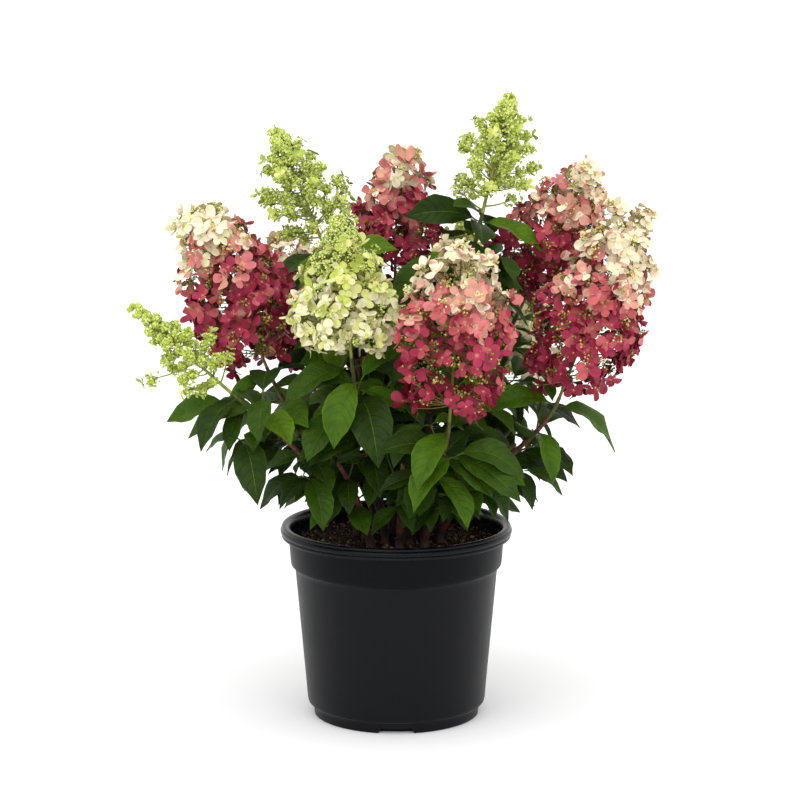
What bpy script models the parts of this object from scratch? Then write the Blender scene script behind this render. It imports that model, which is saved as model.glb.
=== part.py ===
"""A panicle hydrangea in a black nursery pot, one solid for each part of the plant.

The pot stands on the ground at the origin, +Z up, and the photograph looks along +Y.
Canes rise from the potting mix. Each one is a bare cane, then a leafy shoot, and then
either a head of blossom, a spray of green buds or a last pair of leaves.
"""

import math
import random
from collections import namedtuple

import bmesh
import bpy
from mathutils import Vector
from mathutils.bvhtree import BVHTree

UP = Vector((0, 0, 1))
FORWARD = Vector((0, 1, 0))
RIGHT = Vector((1, 0, 0))
GAP = 0.0003
WELD = 1e-5
SMOOTH_ANGLE = math.radians(40)

# Pot: radii from its axis and heights above the ground
POT_HEIGHT = 0.234
RIM_RADIUS = 0.140
RIM_DEPTH = 0.015
BAND_TOP_RADIUS = 0.1295
BAND_FOOT_RADIUS = 0.127
BAND_FOOT_HEIGHT = 0.184
WALL_TOP_RADIUS = 0.122
WALL_FOOT_RADIUS = 0.1075
WALL_FOOT_HEIGHT = 0.013
FOOT_RADIUS = 0.1015
WALL = 0.0022
POT_STEPS = 36

# Drain notches round the foot
DRAIN_COUNT = 4
DRAIN_WIDTH = 0.029
DRAIN_HEIGHT = 0.009
DRAIN_INNER_RADIUS = 0.090
DRAIN_OUTER_RADIUS = 0.118

# Potting mix: its top, and how far it stays inside the pot's wall
SOIL_TOP = POT_HEIGHT - 0.020
SOIL_STEPS = 32
SOIL_INSET = WALL + GAP + 0.001
SOIL_FOOT_RADIUS = 0.084

# Canes: radii, the flare at the mix, and the pull of the curve that they follow
CANE_FOOT_RADIUS = 0.0044
CANE_TIP_RADIUS = 0.0022
ROOT_FLARE = 1.45
FLARE_HEIGHT = 0.012
STUMP = 0.008
CANE_PULL = 0.30
CANE_LIFT = 0.6
PATH_POINTS = 33
PATH_SPACING = 0.055
NEAR = 0.005

# Leaves, in opposite pairs that turn a quarter from each pair to the next
LEAF_LENGTH = 0.112
LEAF_HALF_WIDTH = 0.230
LEAF_THICKNESS = 0.011
LEAF_FOLD = math.radians(16)
LEAF_STEP = 0.04
LEAF_RISE = 0.05
LEAF_DROOP = (35, 85)
FACE_OUT = 0.6
TEST_THICKNESS = 0.035
LEAF_STATIONS = (0.0, 0.36, 0.72, 1.0)
LEAF_WIDTHS = (0.0, 1.0, 0.76, 0.0)
PAIR_SPACING = 0.038
TOP_PAIR_DEPTH = 0.012
LOWEST_PAIR = 0.065
BARE_BELOW_PAIR = 0.014
LEAF_TRIES = 8
RIM_ZONE = 0.095
RIM_CLEARANCE = 0.012
RIM_SLOPE = 0.18

# Heads of blossom: stalk below the lowest floret, and the florets on their core
STALK = 0.016
CORE_SHARE = 0.55
CORE_ENDS = (0.04, 0.92)
HEAD_SWELL = 0.10
HEAD_CLEARANCE = 0.92
FLORETS = 17
FLORET_RADIUS = 0.025
FLORET_SINK = 0.007
FLORET_SET_IN = 0.003
FLORET_NOTCH = 0.62
GOLDEN_ANGLE = math.radians(137.508)

# Green sprays: sprigs of buds round a stalk
SPRAY_STALK_RADII = (CANE_TIP_RADIUS, 0.0030, 0.0008)
SPRIGS = 26
SPRIG_RISE = 0.4
SPRIG_RADIUS = 0.0095
SPRIG_WIDEST = 0.62

Shoot = namedtuple("Shoot", "foot base tip radius kind phase")

# Where each cane leaves the mix (x, y), base and tip of the head at its end, the head's
# greatest radius and its kind, and the direction in degrees of its top pair of leaves
SHOOTS = {
    "front_left": Shoot(
        (-0.013, -0.030), (-0.053, -0.110, 0.470), (-0.066, -0.112, 0.619), 0.070, "cream", 20
    ),
    "front_right": Shoot(
        (0.014, -0.032), (0.062, -0.160, 0.404), (0.075, -0.162, 0.592), 0.074, "rose", 60
    ),
    "right": Shoot(
        (0.034, -0.012), (0.198, -0.060, 0.414), (0.277, -0.060, 0.622), 0.067, "rose", 10
    ),
    "right_rear": Shoot(
        (0.033, 0.010), (0.156, 0.060, 0.498), (0.233, 0.060, 0.658), 0.060, "rose", 40
    ),
    "back": Shoot(
        (-0.006, 0.018), (-0.002, 0.090, 0.506), (0.002, 0.090, 0.677), 0.052, "rose", 0
    ),
    "left": Shoot(
        (-0.036, -0.004), (-0.160, -0.020, 0.443), (-0.232, -0.020, 0.622), 0.065, "rose", 30
    ),
    "back_left": Shoot(
        (-0.022, 0.030), (-0.110, 0.150, 0.400), (-0.150, 0.195, 0.555), 0.060, "rose", 50
    ),
    "back_right": Shoot(
        (0.026, 0.029), (0.125, 0.160, 0.380), (0.175, 0.205, 0.535), 0.060, "cream", 15
    ),
    "rear_low": Shoot(
        (0.000, 0.038), (0.000, 0.190, 0.340), (0.000, 0.250, 0.485), 0.060, "rose", 70
    ),
    "tall_left": Shoot(
        (-0.014, 0.005), (-0.092, 0.040, 0.579), (-0.146, 0.040, 0.712), 0.048, "green", 0
    ),
    "tall_right": Shoot(
        (0.013, -0.005), (0.106, 0.000, 0.626), (0.136, 0.000, 0.753), 0.047, "green", 5
    ),
    "far_left": Shoot(
        (-0.032, -0.022), (-0.203, -0.115, 0.425), (-0.300, -0.125, 0.515), 0.044, "green", 45
    ),
    "rear": Shoot(
        (0.011, 0.016), (0.076, 0.150, 0.490), (0.084, 0.158, 0.585), 0.032, "green", 35
    ),
    "low_front": Shoot(
        (-0.030, -0.043), (-0.078, -0.104, 0.342), (-0.092, -0.122, 0.362), 0.0, "leafy", 0
    ),
    "low_middle": Shoot(
        (0.004, -0.052), (0.008, -0.116, 0.332), (0.009, -0.135, 0.350), 0.0, "leafy", 10
    ),
    "low_front_right": Shoot(
        (0.034, -0.043), (0.094, -0.108, 0.336), (0.108, -0.125, 0.354), 0.0, "leafy", 30
    ),
    "low_right_front": Shoot(
        (0.052, -0.018), (0.140, -0.074, 0.346), (0.158, -0.084, 0.364), 0.0, "leafy", 80
    ),
    "low_right": Shoot(
        (0.051, 0.012), (0.140, 0.030, 0.346), (0.158, 0.035, 0.366), 0.0, "leafy", 0
    ),
    "low_left": Shoot(
        (-0.047, 0.022), (-0.132, 0.056, 0.346), (-0.150, 0.064, 0.366), 0.0, "leafy", 20
    ),
    "low_back_left": Shoot(
        (-0.024, 0.050), (-0.066, 0.122, 0.330), (-0.076, 0.138, 0.348), 0.0, "leafy", 45
    ),
    "low_back_right": Shoot(
        (0.024, 0.052), (0.068, 0.122, 0.330), (0.078, 0.138, 0.348), 0.0, "leafy", 45
    ),
}

COLOURS = {
    "pot_plastic": ((0.012, 0.013, 0.014), 0.45),
    "potting_mix": ((0.030, 0.018, 0.011), 0.95),
    "cane_bark": ((0.075, 0.030, 0.020), 0.70),
    "leaf_green": ((0.028, 0.105, 0.018), 0.45),
    "blossom_cream": ((0.780, 0.740, 0.400), 0.60),
    "blossom_rose": ((0.520, 0.060, 0.120), 0.60),
    "bud_green": ((0.330, 0.450, 0.080), 0.60),
}
HEAD_MATERIAL = {"cream": "blossom_cream", "rose": "blossom_rose", "green": "bud_green"}
HEAD_WORD = {"cream": "blossom_", "rose": "blossom_", "green": "buds_"}
HEAD_TAPER = {"cream": 0.62, "rose": 0.46, "green": 0.95}


def clear_scene():
    for obj in list(bpy.data.objects):
        bpy.data.objects.remove(obj)


def new_collection(name):
    collection = bpy.data.collections.new(name)
    bpy.context.scene.collection.children.link(collection)
    return collection


def make_material(name):
    colour, roughness = COLOURS[name]
    material = bpy.data.materials.new(name)
    material.use_nodes = True
    shader = material.node_tree.nodes["Principled BSDF"]
    shader.inputs["Base Color"].default_value = (*colour, 1.0)
    shader.inputs["Roughness"].default_value = roughness
    shader.inputs["Metallic"].default_value = 0.0
    return material


def object_from(bm, name, collection, material=None):
    """An object from the mesh, with its faces turned outwards."""
    bmesh.ops.recalc_face_normals(bm, faces=bm.faces)
    if bm.calc_volume(signed=True) < 0:
        bmesh.ops.reverse_faces(bm, faces=bm.faces)
    mesh = bpy.data.meshes.new(name)
    bm.to_mesh(mesh)
    bm.free()
    obj = bpy.data.objects.new(name, mesh)
    collection.objects.link(obj)
    if material:
        mesh.materials.append(material)
    return obj


def tube(name, points, radii, collection, material, resolution=1):
    """A tapering tube through the points, as a mesh whose caps are welded to its sides."""
    curve = bpy.data.curves.new(name, "CURVE")
    curve.dimensions = "3D"
    curve.bevel_depth = 1.0
    curve.bevel_resolution = resolution
    curve.use_fill_caps = True
    line = curve.splines.new("POLY")
    line.points.add(len(points) - 1)
    for place, point, radius in zip(line.points, points, radii):
        place.co = (*point, 1.0)
        place.radius = radius
    guide = bpy.data.objects.new(name + "_line", curve)
    collection.objects.link(guide)
    graph = bpy.context.evaluated_depsgraph_get()
    mesh = bpy.data.meshes.new_from_object(guide.evaluated_get(graph))
    bm = bmesh.new()
    bm.from_mesh(mesh)
    bmesh.ops.remove_doubles(bm, verts=bm.verts, dist=WELD)
    bpy.data.objects.remove(guide)
    bpy.data.meshes.remove(mesh)
    obj = object_from(bm, name, collection, material)
    shade_round(obj)
    return obj


def shade_round(obj):
    obj.data.shade_smooth()
    obj.data.set_sharp_from_angle(angle=SMOOTH_ANGLE)


def row_of(vert, rows):
    """Which ring of a unit UV sphere of that many rows a vertex is on, from its lower pole."""
    height = max(-1.0, min(1.0, -vert.co.z))
    return round(math.acos(height) / math.pi * rows)


def fuse(body, bits):
    """Joins the bits to the body with one Boolean union, and removes them."""
    gathered = new_collection(body.name + "_bits")
    for bit in bits:
        for home in list(bit.users_collection):
            home.objects.unlink(bit)
        gathered.objects.link(bit)
    union = body.modifiers.new("fuse", "BOOLEAN")
    union.operation = "UNION"
    union.operand_type = "COLLECTION"
    union.collection = gathered
    union.solver = "MANIFOLD"
    with bpy.context.temp_override(object=body, active_object=body):
        bpy.ops.object.modifier_apply(modifier=union.name)
    for bit in bits:
        bpy.data.objects.remove(bit)
    bpy.data.collections.remove(gathered)
    keep_main_shell(body.data)


def shells_of(bm):
    """The faces of each connected shell; an edge where more than two faces meet parts them."""
    waiting = set(bm.faces)
    shells = []
    while waiting:
        shell = [waiting.pop()]
        for face in shell:
            for edge in face.edges:
                if len(edge.link_faces) != 2:
                    continue
                for other in edge.link_faces:
                    if other in waiting:
                        waiting.remove(other)
                        shell.append(other)
        shells.append(shell)
    return shells


def keep_main_shell(mesh):
    """Fills sealed hollows and drops loose scrap: only the largest shell stays."""
    bm = bmesh.new()
    bm.from_mesh(mesh)
    shells = shells_of(bm)
    largest = max(shells, key=len)
    scrap = [face for shell in shells if shell is not largest for face in shell]
    bmesh.ops.delete(bm, geom=scrap, context="FACES")
    bm.to_mesh(mesh)
    bm.free()


def skin_of(obj):
    graph = bpy.context.evaluated_depsgraph_get()
    mesh = obj.evaluated_get(graph).to_mesh()
    points = [obj.matrix_world @ vert.co for vert in mesh.vertices]
    faces = [tuple(face.vertices) for face in mesh.polygons]
    return BVHTree.FromPolygons(points, faces)


def touches(tree, solids):
    return any(tree.overlap(other) for _, other in solids)


def keep_if_clear(bit, solids, bits):
    """Adds the bit to the others, or removes it where it would touch another piece."""
    if touches(skin_of(bit), solids):
        bpy.data.objects.remove(bit)
        return False
    bits.append(bit)
    return True


def pot_profile():
    """Outer side from the rim down to the underside, and the inner side back up."""
    outer = [
        (RIM_RADIUS - 0.004, POT_HEIGHT),
        (RIM_RADIUS, POT_HEIGHT - 0.004),
        (RIM_RADIUS, POT_HEIGHT - RIM_DEPTH + 0.002),
        (RIM_RADIUS - 0.002, POT_HEIGHT - RIM_DEPTH),
        (BAND_TOP_RADIUS, POT_HEIGHT - RIM_DEPTH),
        (BAND_FOOT_RADIUS, BAND_FOOT_HEIGHT),
        (WALL_TOP_RADIUS, BAND_FOOT_HEIGHT - 0.005),
        (WALL_FOOT_RADIUS, WALL_FOOT_HEIGHT),
        (FOOT_RADIUS, WALL_FOOT_HEIGHT - 0.003),
        (FOOT_RADIUS - 0.001, 0.0),
        (0.0, 0.0),
    ]
    inner = [
        (0.0, 2 * WALL),
        (FOOT_RADIUS - 2 * WALL, 2 * WALL),
        (WALL_FOOT_RADIUS - WALL, WALL_FOOT_HEIGHT + WALL),
        (WALL_TOP_RADIUS - WALL, BAND_FOOT_HEIGHT - 0.005),
        (BAND_FOOT_RADIUS - WALL, BAND_FOOT_HEIGHT + 0.001),
        (BAND_TOP_RADIUS - WALL, POT_HEIGHT - 0.004),
        (BAND_TOP_RADIUS + 0.001, POT_HEIGHT),
    ]
    return outer + inner


def make_pot(parts, cutters, material):
    bm = bmesh.new()
    ring = [bm.verts.new((radius, 0, height)) for radius, height in pot_profile()]
    for start, end in zip(ring, ring[1:] + ring[:1]):
        if start.co.x > 0 or end.co.x > 0:
            bm.edges.new((start, end))
    mesh = bpy.data.meshes.new("pot")
    bm.to_mesh(mesh)
    bm.free()
    mesh.materials.append(material)
    pot = bpy.data.objects.new("pot", mesh)
    parts.objects.link(pot)
    screw = pot.modifiers.new("turn", "SCREW")
    screw.steps = screw.render_steps = POT_STEPS
    screw.use_merge_vertices = True
    screw.merge_threshold = WELD
    for index in range(DRAIN_COUNT):
        cut = pot.modifiers.new(f"drain_{index}", "BOOLEAN")
        cut.operation = "DIFFERENCE"
        cut.object = drain_cutter(index, cutters)
    shade_round(pot)
    return pot


def drain_cutter(index, cutters):
    """A block across the pot's foot; the first one faces the photograph."""
    angle = math.radians(-90 + 360 * index / DRAIN_COUNT)
    middle = (DRAIN_INNER_RADIUS + DRAIN_OUTER_RADIUS) / 2
    bpy.ops.mesh.primitive_cube_add(size=1)
    cutter = bpy.context.active_object
    cutter.name = f"drain_{index}"
    cutter.scale = (DRAIN_OUTER_RADIUS - DRAIN_INNER_RADIUS, DRAIN_WIDTH, 2 * DRAIN_HEIGHT)
    cutter.rotation_euler = (0, 0, angle)
    cutter.location = (middle * math.cos(angle), middle * math.sin(angle), 0)
    cutter.hide_render = True
    cutter.display_type = "WIRE"
    for home in list(cutter.users_collection):
        home.objects.unlink(cutter)
    cutters.objects.link(cutter)
    return cutter


def make_soil(parts, material):
    """Potting mix: a tapering plug that fills the pot, clear of its wall all round."""
    rings = [
        (0.0, 2 * WALL + GAP),
        (SOIL_FOOT_RADIUS, 2 * WALL + GAP),
        (WALL_FOOT_RADIUS - SOIL_INSET, WALL_FOOT_HEIGHT + 0.008),
        (WALL_TOP_RADIUS - SOIL_INSET, BAND_FOOT_HEIGHT - 0.005),
        (BAND_FOOT_RADIUS - SOIL_INSET, BAND_FOOT_HEIGHT + 0.004),
        (BAND_TOP_RADIUS - SOIL_INSET - 0.001, SOIL_TOP),
        (0.0, SOIL_TOP),
    ]
    rows = len(rings) - 1
    bm = bmesh.new()
    bmesh.ops.create_uvsphere(bm, u_segments=SOIL_STEPS, v_segments=rows, radius=1.0)
    for vert in bm.verts:
        radius, height = rings[row_of(vert, rows)]
        out = Vector((vert.co.x, vert.co.y, 0)).normalized() * radius
        vert.co = (out.x, out.y, height)
    return object_from(bm, "potting_mix", parts, material)


def cane_path(shoot):
    """Points from the mix to the foot of the head's stalk, along a Bezier curve that leaves
    the mix upwards and ends in line with the head."""
    tip = Vector(shoot.tip)
    along = (tip - Vector(shoot.base)).normalized()
    base = Vector(shoot.base) - along * (0 if shoot.kind == "leafy" else STALK)
    ground = Vector((*shoot.foot, SOIL_TOP + GAP))
    foot = ground + UP * STUMP
    reach = (base - foot).length
    start = (base - foot).normalized() + UP * CANE_LIFT
    first = foot + start.normalized() * reach * CANE_PULL
    last = base - along * reach * CANE_PULL
    points = [ground]
    for index in range(PATH_POINTS):
        t = index / (PATH_POINTS - 1)
        s = 1 - t
        points.append(s**3 * foot + 3 * s**2 * t * first + 3 * s * t**2 * last + t**3 * base)
    return points


def lengths_along(points):
    total = [0.0]
    for start, end in zip(points, points[1:]):
        total.append(total[-1] + (end - start).length)
    return total


def point_at(points, distance):
    """The point at that distance along the path, and the path's direction there."""
    total = lengths_along(points)
    for index in range(len(points) - 1):
        if distance <= total[index + 1] or index == len(points) - 2:
            span = total[index + 1] - total[index]
            share = (distance - total[index]) / span
            direction = (points[index + 1] - points[index]).normalized()
            return points[index].lerp(points[index + 1], share), direction


def stretch(points, start, end):
    """The path between two distances along it, with a short straight run at either end so
    that pieces that meet there meet squarely."""
    first, first_way = point_at(points, start)
    last, last_way = point_at(points, end)
    spans = max(2, round((end - start) / PATH_SPACING))
    middle = [point_at(points, start + (end - start) * k / spans)[0] for k in range(1, spans)]
    return [first, first + first_way * NEAR, *middle, last - last_way * NEAR, last]


def radius_at(share, height_above_mix):
    """A cane tapers evenly from foot to tip, and flares just above the mix."""
    radius = CANE_FOOT_RADIUS + (CANE_TIP_RADIUS - CANE_FOOT_RADIUS) * share
    flare = max(0.0, 1 - height_above_mix / FLARE_HEIGHT)
    return radius * (1 + (ROOT_FLARE - 1) * flare)


def pair_places(length):
    """Distances along the cane at which pairs of leaves stand, the top pair first."""
    places = []
    place = length - TOP_PAIR_DEPTH
    while place > LOWEST_PAIR:
        places.append(place)
        place -= PAIR_SPACING
    return places


def leaf_points(root, heading, length, droop, thickness):
    """Stations of a leaf from its root in the cane to its tip, as left edge, upper midrib,
    right edge and lower midrib. The midrib bends down fast at first and then less, the blade
    is level across but tilts a little to face away from the pot's axis, and both halves fold
    up from the midrib."""
    side = heading.cross(UP).normalized()
    upper = side.cross(heading).normalized()
    away = Vector((root.x, root.y, 0)).normalized() * FACE_OUT
    stations = []
    middle = root.copy()
    at = 0.0
    for share, width in zip(LEAF_STATIONS, LEAF_WIDTHS):
        while at < share - 1e-6:
            turn = droop * (1 - (1 - at) ** 2)
            middle = middle + (heading * math.cos(turn) - upper * math.sin(turn)) * length * LEAF_STEP
            at += LEAF_STEP
        turn = droop * (1 - (1 - share) ** 2)
        along = heading * math.cos(turn) - upper * math.sin(turn)
        across = along.cross(upper * math.cos(turn) + heading * math.sin(turn) + away).normalized()
        normal = across.cross(along)
        half = width * LEAF_HALF_WIDTH * length
        out = across * math.cos(LEAF_FOLD) * half
        rise = normal * math.sin(LEAF_FOLD) * half
        thick = normal * thickness * length / 2
        stations.append((middle - out + rise, middle + thick, middle + out + rise, middle - thick))
    return stations


def leaf_object(name, stations, collection):
    """A UV sphere of four meridians, drawn out along the leaf's stations. The upper and the
    lower side are split into triangles along the same lines, so that they never cross."""
    bm = bmesh.new()
    bmesh.ops.create_uvsphere(bm, u_segments=4, v_segments=len(stations) - 1, radius=1.0)
    rows = {vert: row_of(vert, len(stations) - 1) for vert in bm.verts}
    midrib = set()
    for vert, row in rows.items():
        left, above, right, below = stations[row]
        if abs(vert.co.z) > 1 - WELD:
            vert.co = (left + right) / 2
        elif abs(vert.co.x) > abs(vert.co.y):
            vert.co = left if vert.co.x < 0 else right
        else:
            vert.co = above if vert.co.y > 0 else below
            midrib.add(vert)
    for face in [face for face in bm.faces if len(face.verts) == 4]:
        outer = min((vert for vert in face.verts if vert not in midrib), key=rows.get)
        inner = max((vert for vert in face.verts if vert in midrib), key=rows.get)
        bmesh.utils.face_split(face, outer, inner)
    return object_from(bm, name, collection)


def leaf_skin(stations, first):
    """The leaf's faces from one of its stations to the tip, as points and quads."""
    points = [corner for station in stations[first:] for corner in station]
    quads = []
    for row in range(len(stations) - first - 1):
        for corner in range(4):
            here, there = 4 * row + corner, 4 * row + (corner + 1) % 4
            quads.append((here, there, there + 4, here + 4))
    return points, quads


def leaf_choices(shoot_index, pair, half, points, place, share, phase):
    """Seeded tries for one leaf: root, heading, length and droop. Later tries are shorter
    and turn further from the pair's own direction."""
    root, along = point_at(points, place)
    draw = random.Random(7919 * shoot_index + 101 * pair + half)
    across = along.cross(FORWARD if abs(along.y) < 0.9 else RIGHT).normalized()
    ahead = along.cross(across).normalized()
    size = LEAF_LENGTH * (0.74 + 0.30 * math.sin(math.pi * min(1.0, share + 0.22)))
    for attempt in range(LEAF_TRIES):
        spread = 8 + 7 * attempt
        angle = math.radians(phase + 90 * pair + 180 * half + draw.uniform(-spread, spread))
        outward = across * math.cos(angle) + ahead * math.sin(angle)
        lean = math.radians(draw.uniform(58, 80) + 3 * attempt)
        heading = (along * math.cos(lean) + outward * math.sin(lean)).normalized()
        if abs(heading.z) > 0.9:
            heading = (heading + outward).normalized()
        heading = (heading + UP * max(0.0, LEAF_RISE - heading.z)).normalized()
        length = size * draw.uniform(0.92, 1.08) * (1 - 0.035 * attempt)
        droop = math.radians(draw.uniform(*LEAF_DROOP))
        yield root, heading, length, droop


def head_radius(kind, radius, t):
    """The head's radius at a share of its length: it swells quickly from the stalk to its
    widest at about a fifth of the way, then tapers to a blunt tip."""
    taper = HEAD_TAPER[kind]
    widest = HEAD_SWELL * math.log(1 + 1 / (HEAD_SWELL * taper))
    most = (1 - math.exp(-widest / HEAD_SWELL)) * (1 - widest) ** taper
    return radius * (1 - math.exp(-t / HEAD_SWELL)) * max(0.0, 1 - t) ** taper / most


def head_frame(shoot):
    base, tip = Vector(shoot.base), Vector(shoot.tip)
    along = (tip - base).normalized()
    across = along.cross(FORWARD).normalized()
    return base, along, (tip - base).length, across, along.cross(across)


def spiral_places(shoot, count):
    """Points that cover the head evenly: shares of its length found from the area below
    them, each turned by the golden angle from the last."""
    steps = 240
    area = [0.0]
    for index in range(steps):
        area.append(area[-1] + head_radius(shoot.kind, shoot.radius, (index + 0.5) / steps) + 0.001)
    places = []
    step = 0
    for index in range(count):
        wanted = area[-1] * (index + 0.5) / count
        while area[step + 1] < wanted:
            step += 1
        places.append(((step + 0.5) / steps, index * GOLDEN_ANGLE))
    return places


def head_normal(shoot, t, angle):
    """A point on the head's surface and the direction that it faces there."""
    base, along, length, across, ahead = head_frame(shoot)
    radius = head_radius(shoot.kind, shoot.radius, t)
    slope = (head_radius(shoot.kind, shoot.radius, t + 0.01) - radius) / (0.01 * length)
    outward = across * math.cos(angle) + ahead * math.sin(angle)
    facing = (outward - along * max(-2.5, min(2.5, slope))).normalized()
    return base + along * length * t + outward * radius, facing, outward


def floret(name, centre, facing, root, radius, turn, collection):
    """Four sepals round a funnel: an eight-sided cone whose rim is drawn in between sepals."""
    bm = bmesh.new()
    bmesh.ops.create_cone(bm, cap_ends=True, segments=8, radius1=1.0, radius2=0.0, depth=1.0)
    across = facing.orthogonal().normalized()
    ahead = facing.cross(across)
    for vert in bm.verts:
        flat = Vector((vert.co.x, vert.co.y))
        if vert.co.z > 0:
            vert.co = root
            continue
        corner = round(math.atan2(flat.y, flat.x) / (math.pi / 4))
        reach = radius * (1.0 if corner % 2 == 0 else FLORET_NOTCH)
        angle = corner * math.pi / 4 + turn
        vert.co = centre + (across * math.cos(angle) + ahead * math.sin(angle)) * reach
    return object_from(bm, name, collection)


def blossom_core(shoot, collection):
    """The dense inside of a head: a coarse UV sphere drawn out to the head's own form."""
    base, along, length, across, ahead = head_frame(shoot)
    low, high = CORE_ENDS
    bm = bmesh.new()
    bmesh.ops.create_uvsphere(bm, u_segments=7, v_segments=5, radius=1.0)
    for vert in bm.verts:
        t = low + (high - low) * (vert.co.z + 1) / 2
        out = Vector((vert.co.x, vert.co.y))
        if abs(vert.co.z) < 1 - WELD:
            out = out.normalized() * CORE_SHARE * head_radius(shoot.kind, shoot.radius, t)
        vert.co = base + along * length * t + across * out.x + ahead * out.y
    return object_from(bm, "core", collection)


def blossom_head(name, shoot, index, solids, parts, material):
    """A panicle in flower: its stalk and core, with florets that stand out of the core."""
    base, along, length, across, ahead = head_frame(shoot)
    draw = random.Random(500 + index)
    line = [base - along * (STALK - GAP), base + along * length * 0.5]
    radii = [CANE_TIP_RADIUS, CANE_TIP_RADIUS * 0.8]
    head = tube(HEAD_WORD[shoot.kind] + name, line, radii, parts, material)
    bits = [blossom_core(shoot, parts)]
    for place, (t, angle) in enumerate(spiral_places(shoot, FLORETS)):
        point, facing, outward = head_normal(shoot, t, angle)
        core_t = min(CORE_ENDS[1] - 0.06, max(CORE_ENDS[0] + 0.06, t))
        core_radius = CORE_SHARE * head_radius(shoot.kind, shoot.radius, core_t)
        inner = base + along * length * core_t + outward * max(0.0, core_radius - FLORET_SINK)
        radius = FLORET_RADIUS * draw.uniform(0.88, 1.10) * (0.66 if t > 0.85 else 1.0)
        centre = point - facing * FLORET_SET_IN
        bit = floret(f"floret_{place}", centre, facing, inner, radius, draw.uniform(0, 1.5), parts)
        keep_if_clear(bit, solids, bits)
    fuse(head, bits)
    return head


def sprig(name, start, end, radius, collection):
    """A side twig with its buds: a four-sided spindle, widest nearer to its tip."""
    bm = bmesh.new()
    bmesh.ops.create_uvsphere(bm, u_segments=4, v_segments=2, radius=1.0)
    along = end - start
    turn = UP.rotation_difference(along).to_matrix()
    for vert in bm.verts:
        if abs(vert.co.z) > 0.5:
            vert.co = end if vert.co.z > 0 else start
        else:
            vert.co = start + along * SPRIG_WIDEST + turn @ vert.co * radius
    return object_from(bm, name, collection)


def green_spray(name, shoot, index, solids, parts, material):
    """A panicle in bud: sprigs all round a central stalk, longest near its foot."""
    base, along, length, across, ahead = head_frame(shoot)
    draw = random.Random(900 + index)
    line = [base - along * (STALK - GAP), base + along * length * 0.5, base + along * length]
    head = tube(HEAD_WORD[shoot.kind] + name, line, SPRAY_STALK_RADII, parts, material, resolution=0)
    bits = []
    for place in range(SPRIGS):
        t = 0.02 + 0.90 * (place / (SPRIGS - 1)) ** 0.85
        reach = max(SPRIG_RADIUS, head_radius(shoot.kind, shoot.radius, t + 0.05))
        angle = place * GOLDEN_ANGLE + draw.uniform(-0.2, 0.2)
        outward = across * math.cos(angle) + ahead * math.sin(angle)
        start = base + along * length * t
        end = start + outward * reach * draw.uniform(0.9, 1.08) + along * reach * SPRIG_RISE
        bit = sprig(f"sprig_{place}", start, end, SPRIG_RADIUS * (1 - 0.45 * t), parts)
        keep_if_clear(bit, solids, bits)
    fuse(head, bits)
    return head


def inside_a_head(stations):
    """Whether a leaf reaches into the space of any head, tested at its own points."""
    for shoot in SHOOTS.values():
        if shoot.kind == "leafy":
            continue
        base, along, length, _, _ = head_frame(shoot)
        for corner in (corner for station in stations[1:] for corner in station[:3]):
            t = (corner - base).dot(along) / length
            if not -0.02 < t < 1:
                continue
            away = (corner - base - along * length * t).length
            if away < HEAD_CLEARANCE * head_radius(shoot.kind, shoot.radius, max(0.05, t)):
                return True
    return False


def hangs_over_the_rim(stations):
    """Whether a leaf comes lower than a shallow cone that opens from just above the rim."""
    for corner in (corner for station in stations for corner in station):
        away = math.hypot(corner.x, corner.y)
        least = POT_HEIGHT + RIM_CLEARANCE + RIM_SLOPE * (away - RIM_RADIUS)
        if away > RIM_ZONE and corner.z < least:
            return True
    return False


def leaf_is_clear(name, stations, solids, leaves):
    """Whether a leaf keeps clear of every other piece. Only its blade is tested against its
    own stem and the other leaves there, because their roots share that stem."""
    if inside_a_head(stations) or hangs_over_the_rim(stations):
        return False
    whole = BVHTree.FromPolygons(*leaf_skin(stations, 0))
    blade = BVHTree.FromPolygons(*leaf_skin(stations, 1))
    for owner, tree in solids:
        if (blade if owner == name else whole).overlap(tree):
            return False
    for owner, whole_leaf, blade_only in leaves:
        if blade.overlap(blade_only) if owner == name else whole.overlap(whole_leaf):
            return False
    leaves.append((name, whole, blade))
    return True


def grow_leaves(name, shoot, index, points, solids, leaves, parts):
    """The shoot's leaves: for each one, the first try that keeps clear of everything."""
    places = pair_places(lengths_along(points)[-1])
    grown = []
    for pair, place in enumerate(places):
        share = pair / max(1, len(places) - 1)
        for half in range(2):
            for choice in leaf_choices(index, pair, half, points, place, share, shoot.phase):
                if leaf_is_clear(name, leaf_points(*choice, TEST_THICKNESS), solids, leaves):
                    stations = leaf_points(*choice, LEAF_THICKNESS)
                    grown.append(leaf_object(f"leaf_{pair}_{half}", stations, parts))
                    break
    return grown


def stem_piece(name, points, start, end, parts, material):
    """The stretch of a cane between two distances along its path, at the cane's own taper."""
    length = lengths_along(points)[-1]
    line = stretch(points, start, end)
    radii = []
    for point, distance in zip(line, lengths_along(line)):
        radii.append(radius_at((start + distance) / length, point.z - SOIL_TOP))
    return tube(name, line, radii, parts, material)


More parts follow.
